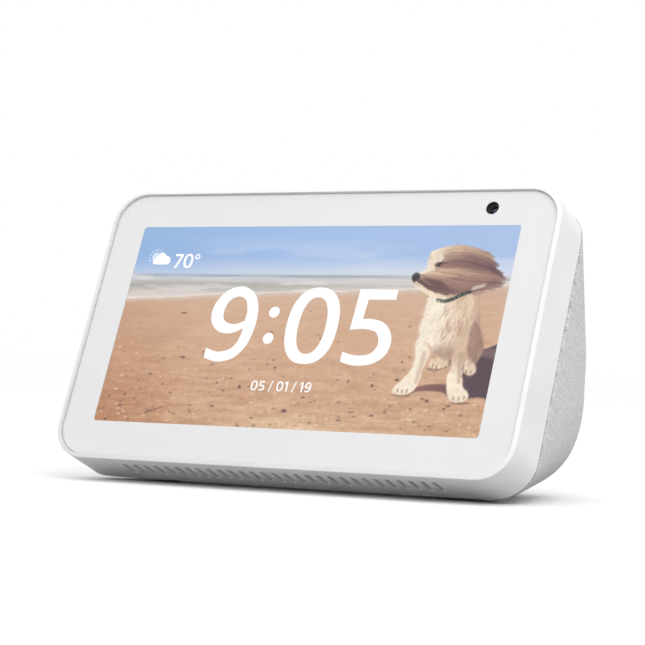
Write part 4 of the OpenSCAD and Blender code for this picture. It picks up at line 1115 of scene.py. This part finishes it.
def add_picture(material):
    """The lit picture: a fine sheet of painted points just in front of the panel."""
    c = Canvas()
    paint_sky(c)
    paint_sea(c)
    paint_sand(c)
    paint_pebbles(c)
    paint_dog(c)
    tones = np.clip(c.rgb, 0, 1)
    linear = np.where(tones <= 0.04045, tones / 12.92, ((tones + 0.055) / 1.055) ** 2.4)
    base = np.array(on_face(0, 0, -PICTURE_DEPTH))
    inset = np.maximum(np.abs(c.x) - (PICTURE_W / 2 - PICTURE_CORNER), 0) / PICTURE_CORNER
    rise = np.maximum(np.abs(c.y) - (PICTURE_H / 2 - PICTURE_CORNER), 0) / PICTURE_CORNER
    over = np.maximum(np.hypot(inset, rise), 1)
    x = np.where(inset > 0, np.sign(c.x) * (PICTURE_W / 2 - PICTURE_CORNER * (1 - inset / over)), c.x)
    y = np.where(rise > 0, np.sign(c.y) * (PICTURE_H / 2 - PICTURE_CORNER * (1 - rise / over)), c.y)
    points = base + x[..., None] * MM * np.array(ACROSS) + y[..., None] * MM * np.array(UP)
    index = np.arange(c.rows * c.columns).reshape(c.rows, c.columns)
    faces = np.stack([index[:-1, :-1], index[:-1, 1:], index[1:, 1:], index[1:, :-1]], -1).reshape(-1, 4)
    piece = new_piece("screen_picture", points.reshape(-1, 3), faces.tolist(), material,
                      smooth=False)
    layer = piece.data.color_attributes.new("paint", "FLOAT_COLOR", "POINT")
    rgba = np.concatenate([linear.reshape(-1, 3), np.ones((index.size, 1))], 1)
    layer.data.foreach_set("color", rgba.ravel())


# ---------------------------------------------------------------- marks on the screen
def ring(x, y, wide, high, power=2.0, steps=48):
    """An oval, squarer as its power goes above 2."""
    a = np.linspace(0, 2 * math.pi, steps, endpoint=False)
    c, s = np.cos(a), np.sin(a)
    return np.stack([x + wide * np.sign(c) * np.abs(c) ** (2 / power),
                     y + high * np.sign(s) * np.abs(s) ** (2 / power)], 1)


def outline(*runs):
    """A closed outline of runs that meet at corners; a run of more than two points is rounded."""
    return np.vstack([smooth_curve(r, steps=7)[:-1] if len(r) > 2 else np.array(r[:1], float) for r in runs])


# Each digit is drawn in a box one unit high from its foot: its outline, its hole and its width.
def digit_zero():
    return [ring(0.355, 0.5, 0.355, 0.5, 2.35), ring(0.355, 0.5, 0.19, 0.37, 2.3)[::-1]], 0.71


def digit_nine():
    body = outline([(0.045, 0.045), (0.16, 0.012), (0.29, 0.0), (0.475, 0.06), (0.615, 0.235), (0.67, 0.5),
                    (0.65, 0.73), (0.56, 0.905), (0.43, 0.985), (0.315, 1.0), (0.15, 0.945), (0.035, 0.80),
                    (0.0, 0.655), (0.035, 0.51), (0.145, 0.405), (0.285, 0.372), (0.405, 0.395),
                    (0.505, 0.45)], [(0.505, 0.45), (0.485, 0.31), (0.405, 0.18), (0.255, 0.13),
                                     (0.15, 0.142), (0.045, 0.175)], [(0.045, 0.175), (0.045, 0.045)])
    hole = outline([(0.505, 0.545), (0.505, 0.68), (0.45, 0.82), (0.335, 0.87), (0.22, 0.81), (0.17, 0.665),
                    (0.21, 0.545), (0.325, 0.498), (0.425, 0.51), (0.505, 0.545)])
    return [body, hole], 0.67


def digit_five():
    body = outline([(0.065, 0.98), (0.575, 0.98)], [(0.575, 0.98), (0.575, 0.85)],
                   [(0.575, 0.85), (0.205, 0.85)], [(0.205, 0.85), (0.188, 0.595)],
                   [(0.188, 0.595), (0.30, 0.60), (0.475, 0.555), (0.59, 0.44), (0.632, 0.29),
                    (0.585, 0.135), (0.445, 0.03), (0.265, 0.0), (0.13, 0.01), (0.008, 0.045)],
                   [(0.008, 0.045), (0.008, 0.172)],
                   [(0.008, 0.172), (0.13, 0.138), (0.265, 0.128), (0.40, 0.165), (0.465, 0.285),
                    (0.41, 0.42), (0.285, 0.465), (0.17, 0.468), (0.042, 0.455)],
                   [(0.042, 0.455), (0.065, 0.98)])
    return [body], 0.63


def digit_seven():
    return [np.array([(0.0, 0.98), (0.62, 0.98), (0.62, 0.87), (0.26, 0.0), (0.08, 0.0), (0.43, 0.835),
                      (0.0, 0.835)])], 0.62


def digit_one():
    return [np.array([(0.16, 0.98), (0.32, 0.98), (0.32, 0.0), (0.16, 0.0), (0.16, 0.78), (0.0, 0.70),
                      (0.0, 0.84)])], 0.36


def slash():
    return [np.array([(0.0, -0.06), (0.12, -0.06), (0.40, 1.04), (0.28, 1.04)])], 0.40


def colon():
    return [ring(0.07, 0.665, 0.073, 0.073, steps=24), ring(0.07, 0.32, 0.073, 0.073, steps=24)], 0.14


def degree():
    return [ring(0.19, 0.80, 0.19, 0.19, steps=24), ring(0.19, 0.80, 0.10, 0.10, steps=24)[::-1]], 0.38


GLYPHS = {"0": digit_zero, "9": digit_nine, "5": digit_five, "7": digit_seven, "1": digit_one, "/": slash,
          ":": colon, "o": degree}


class Marks:
    """Flat marks with a little thickness, gathered into one mesh."""

    def __init__(self, depth, thick=0.00003):
        self.points, self.faces = [], []
        self.depth, self.thick = depth, thick

    def loops(self, loops):
        """A filled outline with its holes, in millimetres on the face."""
        flat = [[Vector((p[0], p[1], 0)) for p in loop] for loop in loops]
        base = len(self.points)
        count = sum(len(l) for l in flat)
        for lift in (-self.depth + self.thick, -self.depth):
            for loop in flat:
                self.points += [on_face(p.x * MM, p.y * MM, lift) for p in loop]
        corners = [v for loop in flat for v in loop]
        for tri in tessellate_polygon(flat):
            p, q, r = (corners[i] for i in tri)
            turn = (q - p).cross(r - p).z
            order = tri if turn > 0 else tri[::-1]
            self.faces.append(tuple(base + i for i in order))
            self.faces.append(tuple(base + count + i for i in reversed(order)))
        start = 0
        for loop in flat:
            for i in range(len(loop)):
                j = (i + 1) % len(loop)
                near, far = base + start, base + count + start
                self.faces.append((near + i, far + i, far + j, near + j))
            start += len(loop)

    def write(self, text, x, y, height, gap=0.14):
        """Digits along a line from its lower left corner."""
        for letter in text:
            if letter == " ":
                x += 0.28 * height
                continue
            shapes, width = GLYPHS[letter]()
            placed = [np.array(s) * height + (x, y) for s in shapes]
            if letter == ":":
                for one in placed:
                    self.loops([one])
            else:
                self.loops(placed)
            x += (width + gap) * height

    def piece(self, name, material):
        return new_piece(name, self.points, self.faces, material, smooth=False)


CLOCK_HEIGHT = 23.5
CLOCK_FOOT = -11.55


def add_marks(material, soft_material):
    clock = Marks(MARKS_DEPTH)
    clock.write("9", -30.8, CLOCK_FOOT, CLOCK_HEIGHT)
    clock.write(":", -11.4, CLOCK_FOOT, CLOCK_HEIGHT)
    clock.write("0", -4.7, CLOCK_FOOT, CLOCK_HEIGHT)
    clock.write("5", 15.1, CLOCK_FOOT, CLOCK_HEIGHT)
    clock.piece("clock_digits", material)
    date = Marks(MARKS_DEPTH)
    date.write("05 / 01 / 19", -11.6, -20.0, 3.0, 0.17)
    date.piece("date_digits", material)
    weather = Marks(MARKS_DEPTH)
    weather.write("70o", -48.6, 17.8, 4.6, 0.10)
    cloud = smooth_curve([(-55.2, 18.95), (-56.15, 19.5), (-56.2, 20.5), (-55.4, 21.2), (-54.9, 21.9),
                          (-53.9, 22.7), (-52.7, 22.6), (-51.9, 21.8), (-50.8, 21.4), (-50.15, 20.5),
                          (-50.3, 19.4), (-51.2, 18.95)], closed=True)
    weather.loops([cloud])
    weather.piece("weather_marks", material)
    sun = Marks(MARKS_DEPTH + 0.00002)
    sun.loops([ring(-55.6, 21.5, 1.35, 1.35)])
    for k in range(7):
        a = math.radians(55 + 27.5 * k)
        way, side = np.array([math.cos(a), math.sin(a)]), np.array([-math.sin(a), math.cos(a)]) * 0.16
        start, end = np.array([-55.6, 21.5]) + way * 1.8, np.array([-55.6, 21.5]) + way * 2.6
        sun.loops([np.array([start - side, end - side, end + side, start + side])])
    sun.piece("sun_marks", soft_material)


# ---------------------------------------------------------------- stage and light
FLOOR = 12
FLOOR_BOUNCE = srgb(196, 196, 197)


def add_stage():
    """A plain pale floor under a plain white sky. It gives back less light than it shows."""
    mesh = bpy.data.meshes.new("floor")
    corners = [(-FLOOR, -FLOOR, 0), (FLOOR, -FLOOR, 0), (FLOOR, FLOOR, 0), (-FLOOR, FLOOR, 0)]
    mesh.from_pydata(corners, [], [(0, 1, 2, 3)])
    floor = new_object("floor", mesh)
    s = Shader("floor_finish", Roughness=0.9, IOR=1.3)
    seen = s.colours(s.noise(3, 2), (0.3, srgb(253, 253, 253)), (0.7, srgb(255, 255, 255)))
    mix = s.add("ShaderNodeMix", data_type="RGBA")
    s.link(s.add("ShaderNodeLightPath").outputs["Is Camera Ray"], mix.inputs["Factor"])
    mix.inputs["A"].default_value = FLOOR_BOUNCE
    s.link(seen, mix.inputs["B"])
    s.link(mix.outputs["Result"], s.main.inputs["Base Color"])
    mesh.materials.append(s.material)


SKY_STRENGTH = 1.0
# Each light: its name, place, size and power. Both aim at the middle of the display.
PANELS = [
    ("key", (0.45, -0.42, 0.55), 0.45, 1.65),
    ("top", (-0.1, 0.25, 1.3), 1.2, 0.6),
]
LIGHTS_AIM = Vector((0, 0, 0.04))


def add_lights():
    world = bpy.data.worlds.new("studio")
    scene.world = world
    world.use_nodes = True
    world.node_tree.nodes["Background"].inputs["Color"].default_value = (1, 1, 1, 1)
    world.node_tree.nodes["Background"].inputs["Strength"].default_value = SKY_STRENGTH
    for name, place, size, power in PANELS:
        data = bpy.data.lights.new(name, "AREA")
        data.shape = "SQUARE"
        data.size = size
        data.energy = power
        light = new_object(name, data)
        light.location = place
        light.rotation_euler = (LIGHTS_AIM - Vector(place)).to_track_quat("-Z", "Y").to_euler()
    scene.view_settings.view_transform = "Standard"


add_camera()
add_stage()
add_lights()
finishes = finish_cad_nodes()
add_glass(finishes["cover_glass"])
# The first colour is the yarn's own colour; the second is the painted shade in the stitch hollows.
FABRIC = knit("fabric_finish", srgb(250, 250, 251), srgb(202, 202, 204))
skin, cloth_tree, cloth_area = add_fabric(FABRIC)
add_seam_stitches(cloth_tree, moulded("seam_yarn", srgb(200, 200, 202), 0.85, grain=0.00004))
add_picture(painted("picture_finish"))
add_marks(glowing("mark_finish", srgb(255, 255, 255)), glowing("soft_mark_finish", srgb(205, 222, 246)))
